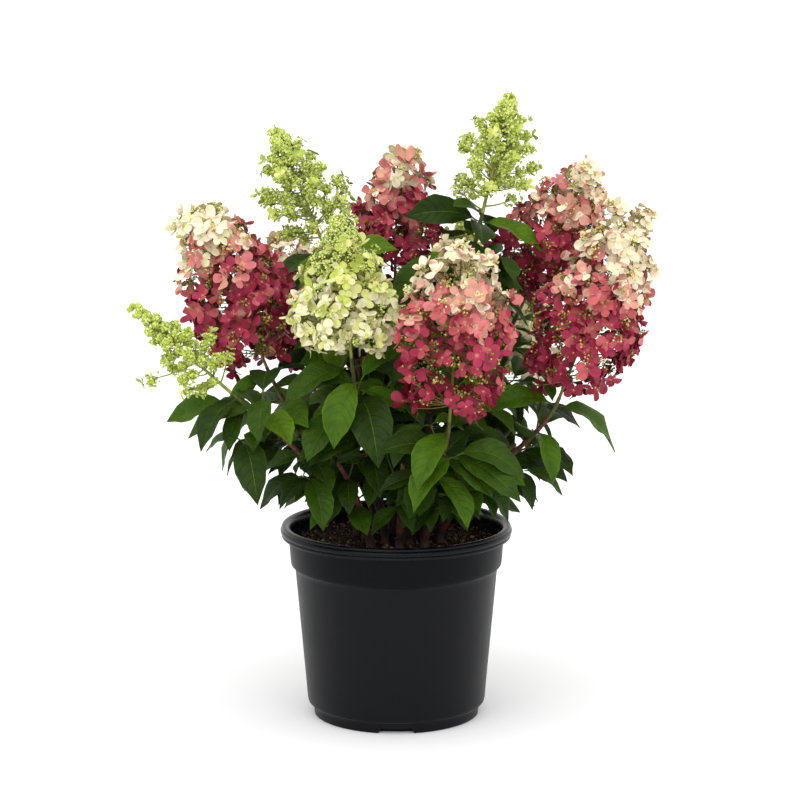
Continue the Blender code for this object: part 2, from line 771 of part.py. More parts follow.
def make_plant(parts, materials):
    """Canes, stems and heads, and then the leaves, which have to keep clear of them all."""
    solids = [(name, skin_of(bpy.data.objects[name])) for name in ("pot", "potting_mix")]
    stems, paths = {}, {}
    for index, (name, shoot) in enumerate(SHOOTS.items()):
        points = paths[name] = cane_path(shoot)
        length = lengths_along(points)[-1]
        split = 0.0
        if shoot.kind != "leafy":
            split = pair_places(length)[-1] - BARE_BELOW_PAIR
            cane = stem_piece("cane_" + name, points, 0.0, split, parts, materials["cane_bark"])
            solids.append((name, skin_of(cane)))
            split += GAP
        stem = stem_piece("leaves_" + name, points, split, length, parts, materials["leaf_green"])
        stems[name] = stem
        solids.append((name, skin_of(stem)))
        if shoot.kind != "leafy":
            grow = green_spray if shoot.kind == "green" else blossom_head
            head = grow(name, shoot, index, solids, parts, materials[HEAD_MATERIAL[shoot.kind]])
            solids.append((head.name, skin_of(head)))
    leaves = []
    for index, (name, shoot) in enumerate(SHOOTS.items()):
        grown = grow_leaves(name, shoot, index, paths[name], solids, leaves, parts)
        fuse(stems[name], grown)


def main():
    clear_scene()
    parts = new_collection("Panicle hydrangea in a pot")
    cutters = new_collection("Cutters")
    materials = {name: make_material(name) for name in COLOURS}
    make_pot(parts, cutters, materials["pot_plastic"])
    make_soil(parts, materials["potting_mix"])
    make_plant(parts, materials)


main()
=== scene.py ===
"""A panicle hydrangea in a black nursery pot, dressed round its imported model.

Everything is in metres, +Z up, and the photograph looks along +Y.
"""

import math
import random
from collections import namedtuple

import bpy
import numpy as np
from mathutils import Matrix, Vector
from mathutils.bvhtree import BVHTree
from mathutils.kdtree import KDTree


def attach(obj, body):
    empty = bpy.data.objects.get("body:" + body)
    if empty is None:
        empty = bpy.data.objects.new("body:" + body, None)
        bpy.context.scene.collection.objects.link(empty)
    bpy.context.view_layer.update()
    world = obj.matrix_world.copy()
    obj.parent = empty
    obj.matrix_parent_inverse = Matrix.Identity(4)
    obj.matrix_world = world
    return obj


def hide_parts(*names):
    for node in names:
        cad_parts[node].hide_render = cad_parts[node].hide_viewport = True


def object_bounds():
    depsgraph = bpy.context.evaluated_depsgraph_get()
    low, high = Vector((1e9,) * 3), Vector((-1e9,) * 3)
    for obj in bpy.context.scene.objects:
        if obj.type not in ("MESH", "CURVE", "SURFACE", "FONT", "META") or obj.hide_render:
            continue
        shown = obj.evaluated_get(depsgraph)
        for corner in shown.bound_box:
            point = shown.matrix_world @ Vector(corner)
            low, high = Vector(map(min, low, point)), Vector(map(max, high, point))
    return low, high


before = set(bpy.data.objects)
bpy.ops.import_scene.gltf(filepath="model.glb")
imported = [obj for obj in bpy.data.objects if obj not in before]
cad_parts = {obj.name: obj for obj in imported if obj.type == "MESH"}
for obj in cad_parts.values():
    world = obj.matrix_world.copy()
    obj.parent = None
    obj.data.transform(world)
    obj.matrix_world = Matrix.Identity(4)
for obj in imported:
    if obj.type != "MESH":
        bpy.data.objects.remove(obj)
cad_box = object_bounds()


# The pot: a thin nursery pot of black plastic, blown in one piece, with a rolled lip, a
# plain band under it, a small ledge to the wall, and four drain notches cut in its foot.
POT_HEIGHT = 0.234
RIM_RADIUS = 0.140
FOOT_RADIUS = 0.1015
POT_SIDES = 160
DRAIN_COUNT = 4
DRAIN_WIDTH = 0.044
DRAIN_SLOPE = 0.065
DRAIN_HEIGHT = 0.0112
DRAIN_INNER_RADIUS = 0.090
LIP_HEIGHTS = (0.2180, 0.2190)
POT_GLOSS = {"wall": 0.155, "band": 0.095}
# radius and height of the pot's points, from the lip's inner edge down the outside to the
# middle of its floor, and up the inside again
POT_OUTSIDE = (
    (0.1318, 0.2331), (0.1336, 0.2338), (0.1354, 0.2340), (0.1369, 0.2336), (0.1379, 0.2328),
    (0.1384, 0.2317), (0.1384, 0.2307), (0.1379, 0.2299), (0.1388, 0.2293), (0.1396, 0.2284),
    (0.1400, 0.2271), (0.1399, 0.2256), (0.1392, 0.2244), (0.1382, 0.2237), (0.1377, 0.2231),
    (0.1384, 0.2223), (0.1387, 0.2211), (0.1383, 0.2199), (0.1371, 0.2191), (0.1345, 0.2187),
    (0.1322, 0.2188), (0.1308, 0.2182),
    (0.1300, 0.2166), (0.1297, 0.2140), (0.1290, 0.2040), (0.1283, 0.1950), (0.1278, 0.1890),
    (0.1275, 0.1866), (0.1268, 0.1850), (0.1255, 0.1838), (0.1238, 0.1824), (0.1228, 0.1808),
    (0.1223, 0.1785), (0.1219, 0.1750), (0.1192, 0.1450), (0.1156, 0.1050), (0.1120, 0.0650),
    (0.1091, 0.0320), (0.1080, 0.0190), (0.1074, 0.0160), (0.1060, 0.0142), (0.1036, 0.0132),
    (0.1023, 0.0124), (0.1017, 0.0112), (0.1013, 0.0060), (0.1009, 0.0012), (0.1003, 0.0002),
    (0.0993, 0.0000), (0.0950, 0.0000), (0.0905, 0.0000), (0.0898, 0.0000), (0.0500, 0.0000),
    (0.0000, 0.0000),
)
POT_INSIDE = (
    (0.0000, 0.0044), (0.0970, 0.0044), (0.1053, 0.0152), (0.1100, 0.0650), (0.1136, 0.1050),
    (0.1172, 0.1450), (0.1198, 0.1790), (0.1248, 0.1850), (0.1262, 0.2040), (0.1273, 0.2230),
    (0.1280, 0.2290), (0.1296, 0.2318), (0.1318, 0.2331),
)
# the points of the outside between which the band lies
BAND_ROWS = (21, 29)


def linear(red, green, blue):
    """A screen colour from 0 to 255 as linear light: ((c + 0.055) / 1.055) to the power 2.4."""
    shares = np.array([red, green, blue]) / 255
    low = shares / 12.92
    high = ((shares + 0.055) / 1.055) ** 2.4
    return (*np.where(shares <= 0.04045, low, high).tolist(), 1.0)


class Signal:
    """One output socket in a finish. Adding, subtracting or multiplying it adds a Math node,
    also where a number stands first."""

    def __init__(self, finish, socket):
        self.finish = finish
        self.socket = socket

    def maths(self, operation, first, second):
        return self.finish.add("ShaderNodeMath", {"operation": operation}, {0: first, 1: second})

    def __add__(self, other):
        return self.maths("ADD", self, other)

    def __radd__(self, other):
        return self.maths("ADD", other, self)

    def __sub__(self, other):
        return self.maths("SUBTRACT", self, other)

    def __rsub__(self, other):
        return self.maths("SUBTRACT", other, self)

    def __mul__(self, other):
        return self.maths("MULTIPLY", self, other)

    def __rmul__(self, other):
        return self.maths("MULTIPLY", other, self)


class Finish:
    """A material, built one node at a time on its Principled shader."""

    def __init__(self, name, roughness, specular):
        self.material = bpy.data.materials.new(name)
        self.material.use_nodes = True
        self.tree = self.material.node_tree
        self.shader = self.tree.nodes["Principled BSDF"]
        self.shader.inputs["Roughness"].default_value = roughness
        self.shader.inputs["Specular IOR Level"].default_value = specular
        self.place = self.add("ShaderNodeTexCoord", {}, {}, "Object")

    def add(self, kind, settings, sockets, output=0):
        """A node of that type, with its settings set first and then its sockets fed."""
        node = self.tree.nodes.new(kind)
        for key, value in settings.items():
            setattr(node, key, value)
        for key, value in sockets.items():
            self.feed(node.inputs[key], value)
        return Signal(self, node.outputs[output])

    def feed(self, socket, value):
        if isinstance(value, Signal):
            self.tree.links.new(value.socket, socket)
        else:
            socket.default_value = value

    def colour(self, value):
        self.feed(self.shader.inputs["Base Color"], value)

    def roughness(self, value):
        self.feed(self.shader.inputs["Roughness"], value)

    def bump(self, height, distance, strength):
        sockets = {"Height": height, "Distance": distance, "Strength": strength}
        self.feed(self.shader.inputs["Normal"], self.add("ShaderNodeBump", {}, sockets))

    def blend(self, share, first, second):
        """The first colour where the share is 0 and the second where it is 1."""
        settings = {"data_type": "RGBA", "clamp_factor": True}
        return self.add("ShaderNodeMix", settings, {0: share, 6: first, 7: second}, 2)

    def two_tone(self, value, low, high, dark, light):
        """The dark screen colour below the low value, and the light one above the high one."""
        return self.blend(self.band(value, low, high), linear(*dark), linear(*light))

    def stretched(self, scale):
        """The place on the object, stretched by a factor along each axis."""
        return self.add("ShaderNodeVectorMath", {"operation": "MULTIPLY"}, {0: self.place, 1: scale})

    def noise(self, scale, detail=2.0, place=None):
        sockets = {"Vector": place or self.place, "Scale": scale, "Detail": detail}
        return self.add("ShaderNodeTexNoise", {}, sockets)

    def band(self, value, low, high):
        """0 below the low value, 1 above the high one, and an even slope between them."""
        return self.add("ShaderNodeMapRange", {"clamp": True}, {0: value, 1: low, 2: high})


def grid_faces(rows, columns):
    """Quads of a grid of points whose columns run round and meet, row after row."""
    row, column = np.meshgrid(np.arange(rows - 1), np.arange(columns), indexing="ij")
    here = row * columns + column
    beside = row * columns + (column + 1) % columns
    return np.stack([here, beside, beside + columns, here + columns], -1).reshape(-1, 4)


def welded(points, faces, slots):
    """Points at one place made one. A face that loses a corner by it is a triangle, whose
    fourth corner is -1, and one that loses two is dropped."""
    rounded = np.round(points, 7)
    _, first, index = np.unique(rounded, axis=0, return_index=True, return_inverse=True)
    faces = index.reshape(-1)[faces]
    lost = faces == np.roll(faces, -1, axis=1)
    for corner in range(4):
        thin = lost[:, corner] & (lost.sum(1) == 1)
        turned_faces = np.roll(faces[thin], -(corner + 1), axis=1)
        turned_faces[:, 3] = -1
        faces[thin] = turned_faces
    whole = lost.sum(1) < 2
    return points[first], faces[whole], slots[whole], first


def make_piece(name, points, faces, finishes, slots=None, sharp=50.0, attributes=None):
    """A mesh object from arrays: its points, its faces and the finish of each face."""
    slots = np.zeros(len(faces), int) if slots is None else slots
    points, faces, slots, kept = welded(points, faces, slots)
    counts = np.where(faces[:, 3] < 0, 3, 4)
    corners = faces.reshape(-1)
    corners = corners[corners >= 0]
    mesh = bpy.data.meshes.new(name)
    mesh.vertices.add(len(points))
    mesh.vertices.foreach_set("co", points.astype(np.float32).ravel())
    mesh.loops.add(len(corners))
    mesh.loops.foreach_set("vertex_index", corners.astype(np.int32))
    mesh.polygons.add(len(faces))
    mesh.polygons.foreach_set("loop_start", (np.cumsum(counts) - counts).astype(np.int32))
    mesh.polygons.foreach_set("material_index", slots.astype(np.int32))
    mesh.update(calc_edges=True)
    mesh.validate()
    for key, values in (attributes or {}).items():
        layer = mesh.attributes.new(key, "FLOAT_VECTOR", "POINT")
        layer.data.foreach_set("vector", values[kept].astype(np.float32).ravel())
    for finish in finishes:
        mesh.materials.append(finish.material)
    mesh.shade_smooth()
    mesh.set_sharp_from_angle(angle=math.radians(sharp))
    piece = bpy.data.objects.new(name, mesh)
    bpy.context.scene.collection.objects.link(piece)
    return piece


def full_turn(count):
    """Even angles round a whole turn, without the last one, which is the first again."""
    return np.linspace(0, 2 * np.pi, count + 1)[:-1]


def turned(profile, angles):
    """A profile carried round the upright axis: radius times cosine and sine of the angle,
    and the profile's own height."""
    radius, height = np.array(profile, float).T
    around = np.stack([np.cos(angles), np.sin(angles)], -1)
    flat = radius[:, None, None] * around[None]
    tall = np.broadcast_to(height[:, None, None], (len(radius), len(angles), 1))
    return np.concatenate([flat, tall], -1)


# columns of points stand at each notch's edges, between which its sides slope up
half_notch = DRAIN_WIDTH / 2 / FOOT_RADIUS
notch_middles = np.radians(-90 + 360 * np.arange(DRAIN_COUNT) / DRAIN_COUNT)
notch_edges = [middle + side * (half_notch + slip) for middle in notch_middles
               for side in (-1, 1) for slip in (-DRAIN_SLOPE, 0.0)]
angles = np.unique(np.mod(np.concatenate([full_turn(POT_SIDES), notch_edges]), 2 * np.pi))
away = np.min(np.abs(np.angle(np.exp(1j * (angles[:, None] - notch_middles)))), axis=1)
notch = np.clip((half_notch - away) / DRAIN_SLOPE + 1e-6, 0, 1)

pot_points = turned(POT_OUTSIDE + POT_INSIDE, angles)
low = (np.arange(len(pot_points)) < len(POT_OUTSIDE))[:, None]
low = low & (np.hypot(pot_points[..., 0], pot_points[..., 1]) > DRAIN_INNER_RADIUS)
raised = np.maximum(pot_points[..., 2], DRAIN_HEIGHT * notch)
pot_points[..., 2] = np.where(low & (pot_points[..., 2] < DRAIN_HEIGHT), raised, pot_points[..., 2])

# the band under the lip shines less than the wall does
pot_finishes = []
for word, gloss in POT_GLOSS.items():
    black = Finish("black_plastic_" + word, 0.42, specular=gloss)
    fine = black.noise(700.0, 3.0)
    broad = black.noise(9.0, 3.0, black.stretched((1, 1, 3)))
    scuff = black.band(black.noise(120.0, 6.0, black.stretched((1, 1, 0.25))), 0.60, 0.78)
    black.colour(black.blend(scuff * 0.5, linear(3, 4, 8), linear(11, 12, 18)))
    height = black.add("ShaderNodeSeparateXYZ", {}, {0: black.place}, 2)
    lip = black.band(height, *LIP_HEIGHTS)
    black.roughness(0.36 + 0.10 * broad + 0.12 * scuff - 0.14 * lip)
    black.bump(fine + 0.6 * broad, 0.0004, 0.35)
    pot_finishes.append(black)

profile_rows = np.arange(len(pot_points) - 1)
in_band = (profile_rows >= BAND_ROWS[0]) & (profile_rows < BAND_ROWS[1])
pot = make_piece("pot_shell", pot_points.reshape(-1, 3), grid_faces(*pot_points.shape[:2])[:, ::-1],
                 pot_finishes, np.repeat(in_band, len(angles)).astype(int), sharp=38.0)
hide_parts("pot")
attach(pot, "root")


# The potting mix: dark peat with crumbs of bark, heaped a little where the canes leave it
# and lower along the pot's wall, 20 mm under the rim.
SOIL_TOP = POT_HEIGHT - 0.020
SOIL_EDGE_RADIUS = 0.1264
SOIL_SIDES = 96
SOIL_RINGS = 26
# radius and height from the middle of its underside up to its edge
SOIL_BELOW = ((0.0, 0.006), (0.084, 0.006), (0.103, 0.022), (0.1165, 0.178), (0.1225, 0.188))
CRUMBS = 2600
LONG_CRUMBS = 90
LEAST_CRUMB = 0.0009
CRUMB_RANGE = 0.0021
CRUMB_TONES = {"dark": (30, 20, 14), "brown": (66, 46, 31), "tan": (118, 90, 60), "pale": (160, 138, 104)}
CRUMB_SHARES = (0.40, 0.30, 0.19, 0.11)

soil_radii = SOIL_EDGE_RADIUS * np.linspace(1, 0, SOIL_RINGS)
soil_profile = [*SOIL_BELOW, *((radius, SOIL_TOP) for radius in soil_radii)]
soil_points = turned(soil_profile, full_turn(SOIL_SIDES))


def soil_height(x, y):
    """The mix's own top: a few sines of different lengths, and a low heap in the middle."""
    rough = np.sin(140 * x + 3 * np.sin(60 * y)) * np.cos(155 * y + 2 * np.sin(85 * x))
    finer = np.sin(410 * x + 1.3) * np.sin(370 * y + 0.4)
    heap = 0.004 * np.exp(-(x**2 + y**2) / 0.05**2)
    return SOIL_TOP - 0.0015 + 0.0016 * rough + 0.0008 * finer + heap


top = soil_points[len(SOIL_BELOW):]
top[..., 2] = soil_height(top[..., 0], top[..., 1])

peat = Finish("potting_peat", 0.95, specular=0.15)
grain = peat.noise(420.0, 6.0)
lumps = peat.noise(95.0, 3.0)
peat.colour(peat.two_tone(grain, 0.42, 0.72, (26, 17, 12), (84, 59, 42)))
peat.bump(grain + lumps, 0.003, 0.9)
mix = make_piece("mix_bed", soil_points.reshape(-1, 3), grid_faces(*soil_points.shape[:2]), [peat])
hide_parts("potting_mix")
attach(mix, "root")


def unit(vectors):
    """Vectors over their own length."""
    return vectors / np.maximum(np.linalg.norm(vectors, axis=-1, keepdims=True), 1e-12)


def repeated(faces, points_each, copies):
    """The faces of one shape again for each copy, whose points follow one another."""
    return (faces[None] + np.arange(copies)[:, None, None] * points_each).reshape(-1, 4)


def stamped(shape, faces, centres, axes, sizes):
    """One small shape set down many times: each copy is the shape's points times that
    copy's sizes, along its own three axes, from its centre."""
    points = centres[:, None] + np.einsum("cvk,cki->cvi", shape[None] * sizes[:, None], axes)
    return points.reshape(-1, 3), repeated(faces, len(shape), len(centres))


def random_axes(draw, count):
    """Three square directions for each copy, turned at random."""
    first = unit(draw.normal(size=(count, 3)))
    second = unit(np.cross(first, draw.normal(size=(count, 3))))
    return np.stack([first, second, np.cross(first, second)], 1)


def ball(rows, columns):
    """A small round body: rings at even angles between two poles."""
    bend = np.linspace(0, np.pi, rows + 1)
    rings = turned(np.stack([np.sin(bend), -np.cos(bend)], -1), full_turn(columns))
    return rings.reshape(-1, 3), grid_faces(rows + 1, columns)


draw = np.random.default_rng(11)
spread = SOIL_EDGE_RADIUS * np.sqrt(draw.uniform(0, 0.985, CRUMBS))
turn = draw.uniform(0, 2 * np.pi, CRUMBS)
crumb_x, crumb_y = spread * np.cos(turn), spread * np.sin(turn)
crumb_centres = np.stack([crumb_x, crumb_y, soil_height(crumb_x, crumb_y) + 0.0004], -1)
crumb_sizes = LEAST_CRUMB + CRUMB_RANGE * draw.uniform(0, 1, (CRUMBS, 3)) ** 2.2
crumb_sizes[:LONG_CRUMBS, 0] *= 2.6
one_crumb, sides = ball(2, 4)
crumb_points, crumb_faces = stamped(one_crumb, sides, crumb_centres, random_axes(draw, CRUMBS), crumb_sizes)
crumb_slots = np.repeat(draw.choice(len(CRUMB_TONES), CRUMBS, p=CRUMB_SHARES), len(sides))
crumb_finishes = []
for word, tone in CRUMB_TONES.items():
    crumb = Finish("bark_crumb_" + word, 0.9, specular=0.2)
    shade = tuple(0.55 * part for part in linear(*tone)[:3]) + (1.0,)
    crumb.colour(crumb.blend(crumb.noise(600.0, 4.0), shade, linear(*tone)))
    crumb_finishes.append(crumb)
crumbs = make_piece("mix_crumbs", crumb_points, crumb_faces, crumb_finishes, crumb_slots, sharp=30.0)
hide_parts("potting_mix")
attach(crumbs, "root")


# The canes: woody stems that rise from the mix and lean out under their heads. The bark is
# ribbed and red-brown, each leaf joint swells a little, and the last stretch is still green.
# The old bark low down is darker, partly its own grey-brown and partly painted shade under the leaves.
CANE_FOOT_RADIUS = 0.0044
CANE_TIP_RADIUS = 0.0022
ROOT_FLARE = 1.45
FLARE_HEIGHT = 0.012
GAP = 0.0003
STUMP = 0.008
CANE_PULL = 0.30
CANE_LIFT = 0.6
PATH_POINTS = 33
STALK = 0.016
PAIR_SPACING = 0.038
TOP_PAIR_DEPTH = 0.012
LOWEST_PAIR = 0.065
JOINT_SWELL = 0.22
JOINT_REACH = 0.0032
CANE_SIDES = 10
CANE_RING_SPACING = 0.0035
UP = np.array([0.0, 0.0, 1.0])
FORWARD = np.array([0.0, 1.0, 0.0])
RIGHT = np.array([1.0, 0.0, 0.0])
# the share of a cane's run up to which its bark is old and painted darker as shade under the
# leaves, and from which it is young
OLD_SHADED_BARK = {"leafy": 0.12, "cream": 0.42, "rose": 0.42, "green": 0.42}
YOUNG_BARK = 0.90
# the dark and light tone of each bark: old is grey-brown with painted shade from the leaves over it, and red
# is dimmed a little by that painted shade too
BARK_TONES = {
    "old_shaded": ((30, 18, 13), (74, 47, 36)), "red": ((52, 26, 20), (112, 62, 46)),
    "young": ((54, 56, 22), (92, 90, 40)),
}
# foot in the mix (x, y), base and tip of the head, its greatest radius, its kind, and the
# direction in degrees of the top pair of leaves
SHOOTS = {
    "front_left": ((-0.013, -0.030), (-0.053, -0.110, 0.470), (-0.066, -0.112, 0.619), 0.070, "cream", 20),
    "front_right": ((0.014, -0.032), (0.062, -0.160, 0.404), (0.075, -0.162, 0.592), 0.074, "rose", 60),
    "right": ((0.034, -0.012), (0.198, -0.060, 0.414), (0.277, -0.060, 0.622), 0.067, "rose", 10),
    "right_rear": ((0.033, 0.010), (0.156, 0.060, 0.498), (0.233, 0.060, 0.658), 0.060, "rose", 40),
    "back": ((-0.006, 0.018), (-0.002, 0.090, 0.506), (0.002, 0.090, 0.677), 0.052, "rose", 0),
    "left": ((-0.036, -0.004), (-0.160, -0.020, 0.443), (-0.232, -0.020, 0.622), 0.065, "rose", 30),
    "back_left": ((-0.022, 0.030), (-0.110, 0.150, 0.400), (-0.150, 0.195, 0.555), 0.060, "rose", 50),
    "back_right": ((0.026, 0.029), (0.125, 0.160, 0.380), (0.175, 0.205, 0.535), 0.060, "cream", 15),
    "rear_low": ((0.000, 0.038), (0.000, 0.190, 0.340), (0.000, 0.250, 0.485), 0.060, "rose", 70),
    "tall_left": ((-0.014, 0.005), (-0.092, 0.040, 0.579), (-0.146, 0.040, 0.712), 0.048, "green", 0),
    "tall_right": ((0.013, -0.005), (0.106, 0.000, 0.626), (0.136, 0.000, 0.753), 0.047, "green", 5),
    "far_left": ((-0.032, -0.022), (-0.203, -0.115, 0.425), (-0.300, -0.125, 0.515), 0.044, "green", 45),
    "rear": ((0.011, 0.016), (0.076, 0.150, 0.490), (0.084, 0.158, 0.585), 0.032, "green", 35),
    "low_front": ((-0.030, -0.043), (-0.078, -0.104, 0.342), (-0.092, -0.122, 0.362), 0.0, "leafy", 0),
    "low_middle": ((0.004, -0.052), (0.008, -0.116, 0.332), (0.009, -0.135, 0.350), 0.0, "leafy", 10),
    "low_front_right": ((0.034, -0.043), (0.094, -0.108, 0.336), (0.108, -0.125, 0.354), 0.0, "leafy", 30),
    "low_right_front": ((0.052, -0.018), (0.140, -0.074, 0.346), (0.158, -0.084, 0.364), 0.0, "leafy", 80),
    "low_right": ((0.051, 0.012), (0.140, 0.030, 0.346), (0.158, 0.035, 0.366), 0.0, "leafy", 0),
    "low_left": ((-0.047, 0.022), (-0.132, 0.056, 0.346), (-0.150, 0.064, 0.366), 0.0, "leafy", 20),
    "low_back_left": ((-0.024, 0.050), (-0.066, 0.122, 0.330), (-0.076, 0.138, 0.348), 0.0, "leafy", 45),
    "low_back_right": ((0.024, 0.052), (0.068, 0.122, 0.330), (0.078, 0.138, 0.348), 0.0, "leafy", 45),
}
Shoot = namedtuple("Shoot", "foot base tip radius kind top_pair")
SHOOTS = {name: Shoot(*values) for name, values in SHOOTS.items()}


def bezier(first, second, third, fourth, shares):
    """Points of a cubic Bezier curve at shares of its run."""
    t = shares[:, None]
    s = 1 - t
    return s**3 * first + 3 * s**2 * t * second + 3 * s * t**2 * third + t**3 * fourth


def cane_path(shoot):
    """A short upright foot, and then a Bezier curve that ends in line with the head."""
    along = unit(np.subtract(shoot.tip, shoot.base))
    base = np.array(shoot.base) - along * (0 if shoot.kind == "leafy" else STALK)
    ground = np.array([*shoot.foot, SOIL_TOP + GAP])
    foot = ground + UP * STUMP
    reach = np.linalg.norm(base - foot)
    first = foot + unit(unit(base - foot) + UP * CANE_LIFT) * reach * CANE_PULL
    last = base - along * reach * CANE_PULL
    return np.vstack([ground, bezier(foot, first, last, base, np.linspace(0, 1, PATH_POINTS))])


def lengths_along(points):
    return np.concatenate([[0.0], np.cumsum(np.linalg.norm(np.diff(points, axis=0), axis=1))])


def point_at(points, distance):
    """The point at that distance along the path, and the path's direction there."""
    total = lengths_along(points)
    index = min(int(np.searchsorted(total[1:], distance)), len(points) - 2)
    share = (distance - total[index]) / (total[index + 1] - total[index])
    step = points[index + 1] - points[index]
    return points[index] + step * share, unit(step)


def pair_places(length):
    """Distances along the cane at which pairs of leaves stand, the top pair first."""
    places = []
    place = length - TOP_PAIR_DEPTH
    while place > LOWEST_PAIR:
        places.append(place)
        place -= PAIR_SPACING
    return places


def smooth_path(points, spacing):
    """The path again at even steps, each point from the two nearest along its length, and
    then evened out with its neighbours."""
    total = lengths_along(points)
    steps = np.linspace(0, total[-1], max(4, round(total[-1] / spacing)))
    line = np.stack([np.interp(steps, total, points[:, axis]) for axis in range(3)], -1)
    line[1:-1] = (line[:-2] + 2 * line[1:-1] + line[2:]) / 4
    return line, steps


def swung(first, second, turns):
    """Directions between two square ones: the first times the turn's cosine, and the second
    times its sine."""
    return first * np.cos(turns)[..., None] + second * np.sin(turns)[..., None]


def tubes(paths, radii, sides):
    """Points and faces of a tube along each path. A ring's points are its centre plus the
    radius times directions swung round the path's own, and each end runs in to a point on
    the path, which closes it."""
    ways = unit(np.gradient(paths, axis=1))
    guide = np.where(np.abs(ways[..., 1:2]) < 0.9, FORWARD, RIGHT)
    across = unit(np.cross(ways, guide))
    ahead = np.cross(ways, across)
    around = swung(across[:, :, None], ahead[:, :, None], full_turn(sides))
    radii = radii if radii.ndim == 3 else radii[..., None]
    rings = paths[:, :, None] + around * radii[..., None]
    first = np.broadcast_to(paths[:, :1, None], (len(paths), 1, sides, 3))
    last = np.broadcast_to(paths[:, -1:, None], (len(paths), 1, sides, 3))
    points = np.concatenate([first, rings, last], 1)
    rows = points.shape[1]
    return points.reshape(-1, 3), repeated(grid_faces(rows, sides), rows * sides, len(paths))


def joined(parts):
    """Sets of points and faces made one."""
    points = np.vstack([part[0] for part in parts])
    steps = np.cumsum([0] + [len(part[0]) for part in parts[:-1]])
    return points, np.vstack([part[1] + step for part, step in zip(parts, steps)])


draw = np.random.default_rng(5)
cane_paths = {name: cane_path(shoot) for name, shoot in SHOOTS.items()}
cane_parts, cane_slots = [], []
for name, shoot in SHOOTS.items():
    line, steps = smooth_path(cane_paths[name], CANE_RING_SPACING)
    radius = CANE_FOOT_RADIUS + (CANE_TIP_RADIUS - CANE_FOOT_RADIUS) * (steps / steps[-1])
    flare = np.clip(1 - (line[:, 2] - SOIL_TOP) / FLARE_HEIGHT, 0, 1)
    radius = radius * (1 + (ROOT_FLARE - 1) * flare)
    joints = np.array(pair_places(steps[-1]))
    swell = np.exp(-(((steps[:, None] - joints) / JOINT_REACH) ** 2)).sum(1)
    ribs = 0.05 * np.sin(3 * full_turn(CANE_SIDES) + 40 * steps[:, None])
    ribs = ribs + 0.035 * draw.normal(size=(len(steps), CANE_SIDES))
    relief = 1 + JOINT_SWELL * swell[:, None] + ribs * np.linspace(1, 0.4, len(steps))[:, None]
    cane_parts.append(tubes(line[None], (radius[:, None] * relief)[None], CANE_SIDES))
    # the lowest run takes the old bark, darker with painted shade under the leaves
    rows = np.linspace(0, 1, len(line) + 1) + draw.normal() * 0.03
    cane_slots.append(np.repeat(np.digitize(rows, [OLD_SHADED_BARK[shoot.kind], YOUNG_BARK]), CANE_SIDES))

bark_finishes = []
for word, (dark, light) in BARK_TONES.items():
    bark = Finish("cane_" + word, 0.62, specular=0.35)
    streaks = bark.noise(260.0, 4.0, bark.stretched((1, 1, 0.16)))
    flecks = bark.band(bark.noise(900.0, 3.0), 0.60, 0.72)
    tone = bark.two_tone(streaks, 0.35, 0.68, dark, light)
    bark.colour(bark.blend(flecks * 0.35, tone, linear(*(min(255, part + 50) for part in light))))
    bark.bump(streaks + 0.4 * flecks, 0.0006, 0.8)
    bark_finishes.append(bark)
canes = make_piece("canes", *joined(cane_parts), bark_finishes, np.concatenate(cane_slots), sharp=60.0)
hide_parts(*[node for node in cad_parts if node.startswith(("cane_", "leaves_"))])
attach(canes, "root")


# The leaves: opposite pairs on short stalks, each blade an oval with a drawn-out tip,
# folded a little along its pale midrib and bowed down, with a greyer underside.
LEAF_LENGTH = 0.112
LEAF_HALF_WIDTH = 0.230
LEAF_FOLD = math.radians(16)
LEAF_STEP = 0.04
LEAF_RISE = 0.05
LEAF_DROOP = (35, 85)
LEAF_LEAN = (58, 80)
# how many degrees the first try may stray, and how many more each further one
LEAF_TRIES = 8
FIRST_STRAY = 8
MORE_STRAY = 7
# how far blades roll away from the plant's middle, by which shares of x, y and z
FACE_OUT = 0.75
FACE_MIDDLE = (0.0, 0.07, 0.0)
FACE_SHARES = (0.45, 1.0, 0.0)
# the solids' plain leaf, by which room is tested: shares of its length and half width
TEST_SHARES = np.array([0.0, 0.36, 0.72, 1.0])
TEST_WIDTHS = np.array([0.0, 1.0, 0.76, 0.0])
TEST_THICKNESS = 0.035
SAME_PLACE = 0.0006
# the room that leaves keep over the rim, from this radius out, over the mix and round heads
RIM_ZONE = 0.095
RIM_CLEARANCE = 0.012
RIM_SLOPE = 0.18
SOIL_CLEARANCE = 0.006
HEAD_CLEARANCE = 0.92
HEAD_SWELL = 0.10
HEAD_TAPER = {"cream": 0.62, "rose": 0.46, "green": 0.95}
# a leaf's share of the rule's length where it grows at each height
SIZE_HEIGHTS = (0.25, 0.30, 0.37)
SIZE_SHARES = (0.60, 0.78, 1.0)
# which of the blade's tones are dealt out to leaves below and above a height
LOW_LEAF = 0.37
LOW_TONES = (0, 0, 0, 1, 1, 2)
HIGH_TONES = (0, 1, 1, 2, 2, 3)
# how far below a tall shoot's end its pairs of smaller leaves stand
WHORL_DEPTHS = (0.003, 0.018, 0.030, 0.050, 0.078, 0.106, 0.134)
# shares of the rule's length that leaves of the solids, of whorls and of twigs have
SOLID_LEAVES = (0.80, 1.0)
WHORL_LEAVES = (0.62, 0.85)
TWIG_LEAVES = (0.58, 1.0)
# side twigs: how far up a cane they start, the share of joints that have one, their
# lengths, their pairs of leaves, and the radii of their two ends
LOWEST_TWIG = 0.05
TWIG_SHARE = 0.62
TWIG_SHARES = {
    "left": 0.31, "low_left": 0.31, "right": 0.80, "low_right": 0.55, "low_right_front": 0.75,
}
TWIG_LENGTHS = (0.022, 0.060)
TWIG_PAIRS = 2
TWIG_RADII = (0.0014, 0.0009)


def square_to(along):
    """Two directions square to a cane's own."""
    across = unit(np.cross(along, FORWARD if abs(along[1]) < 0.9 else RIGHT))
    return across, unit(np.cross(along, across))


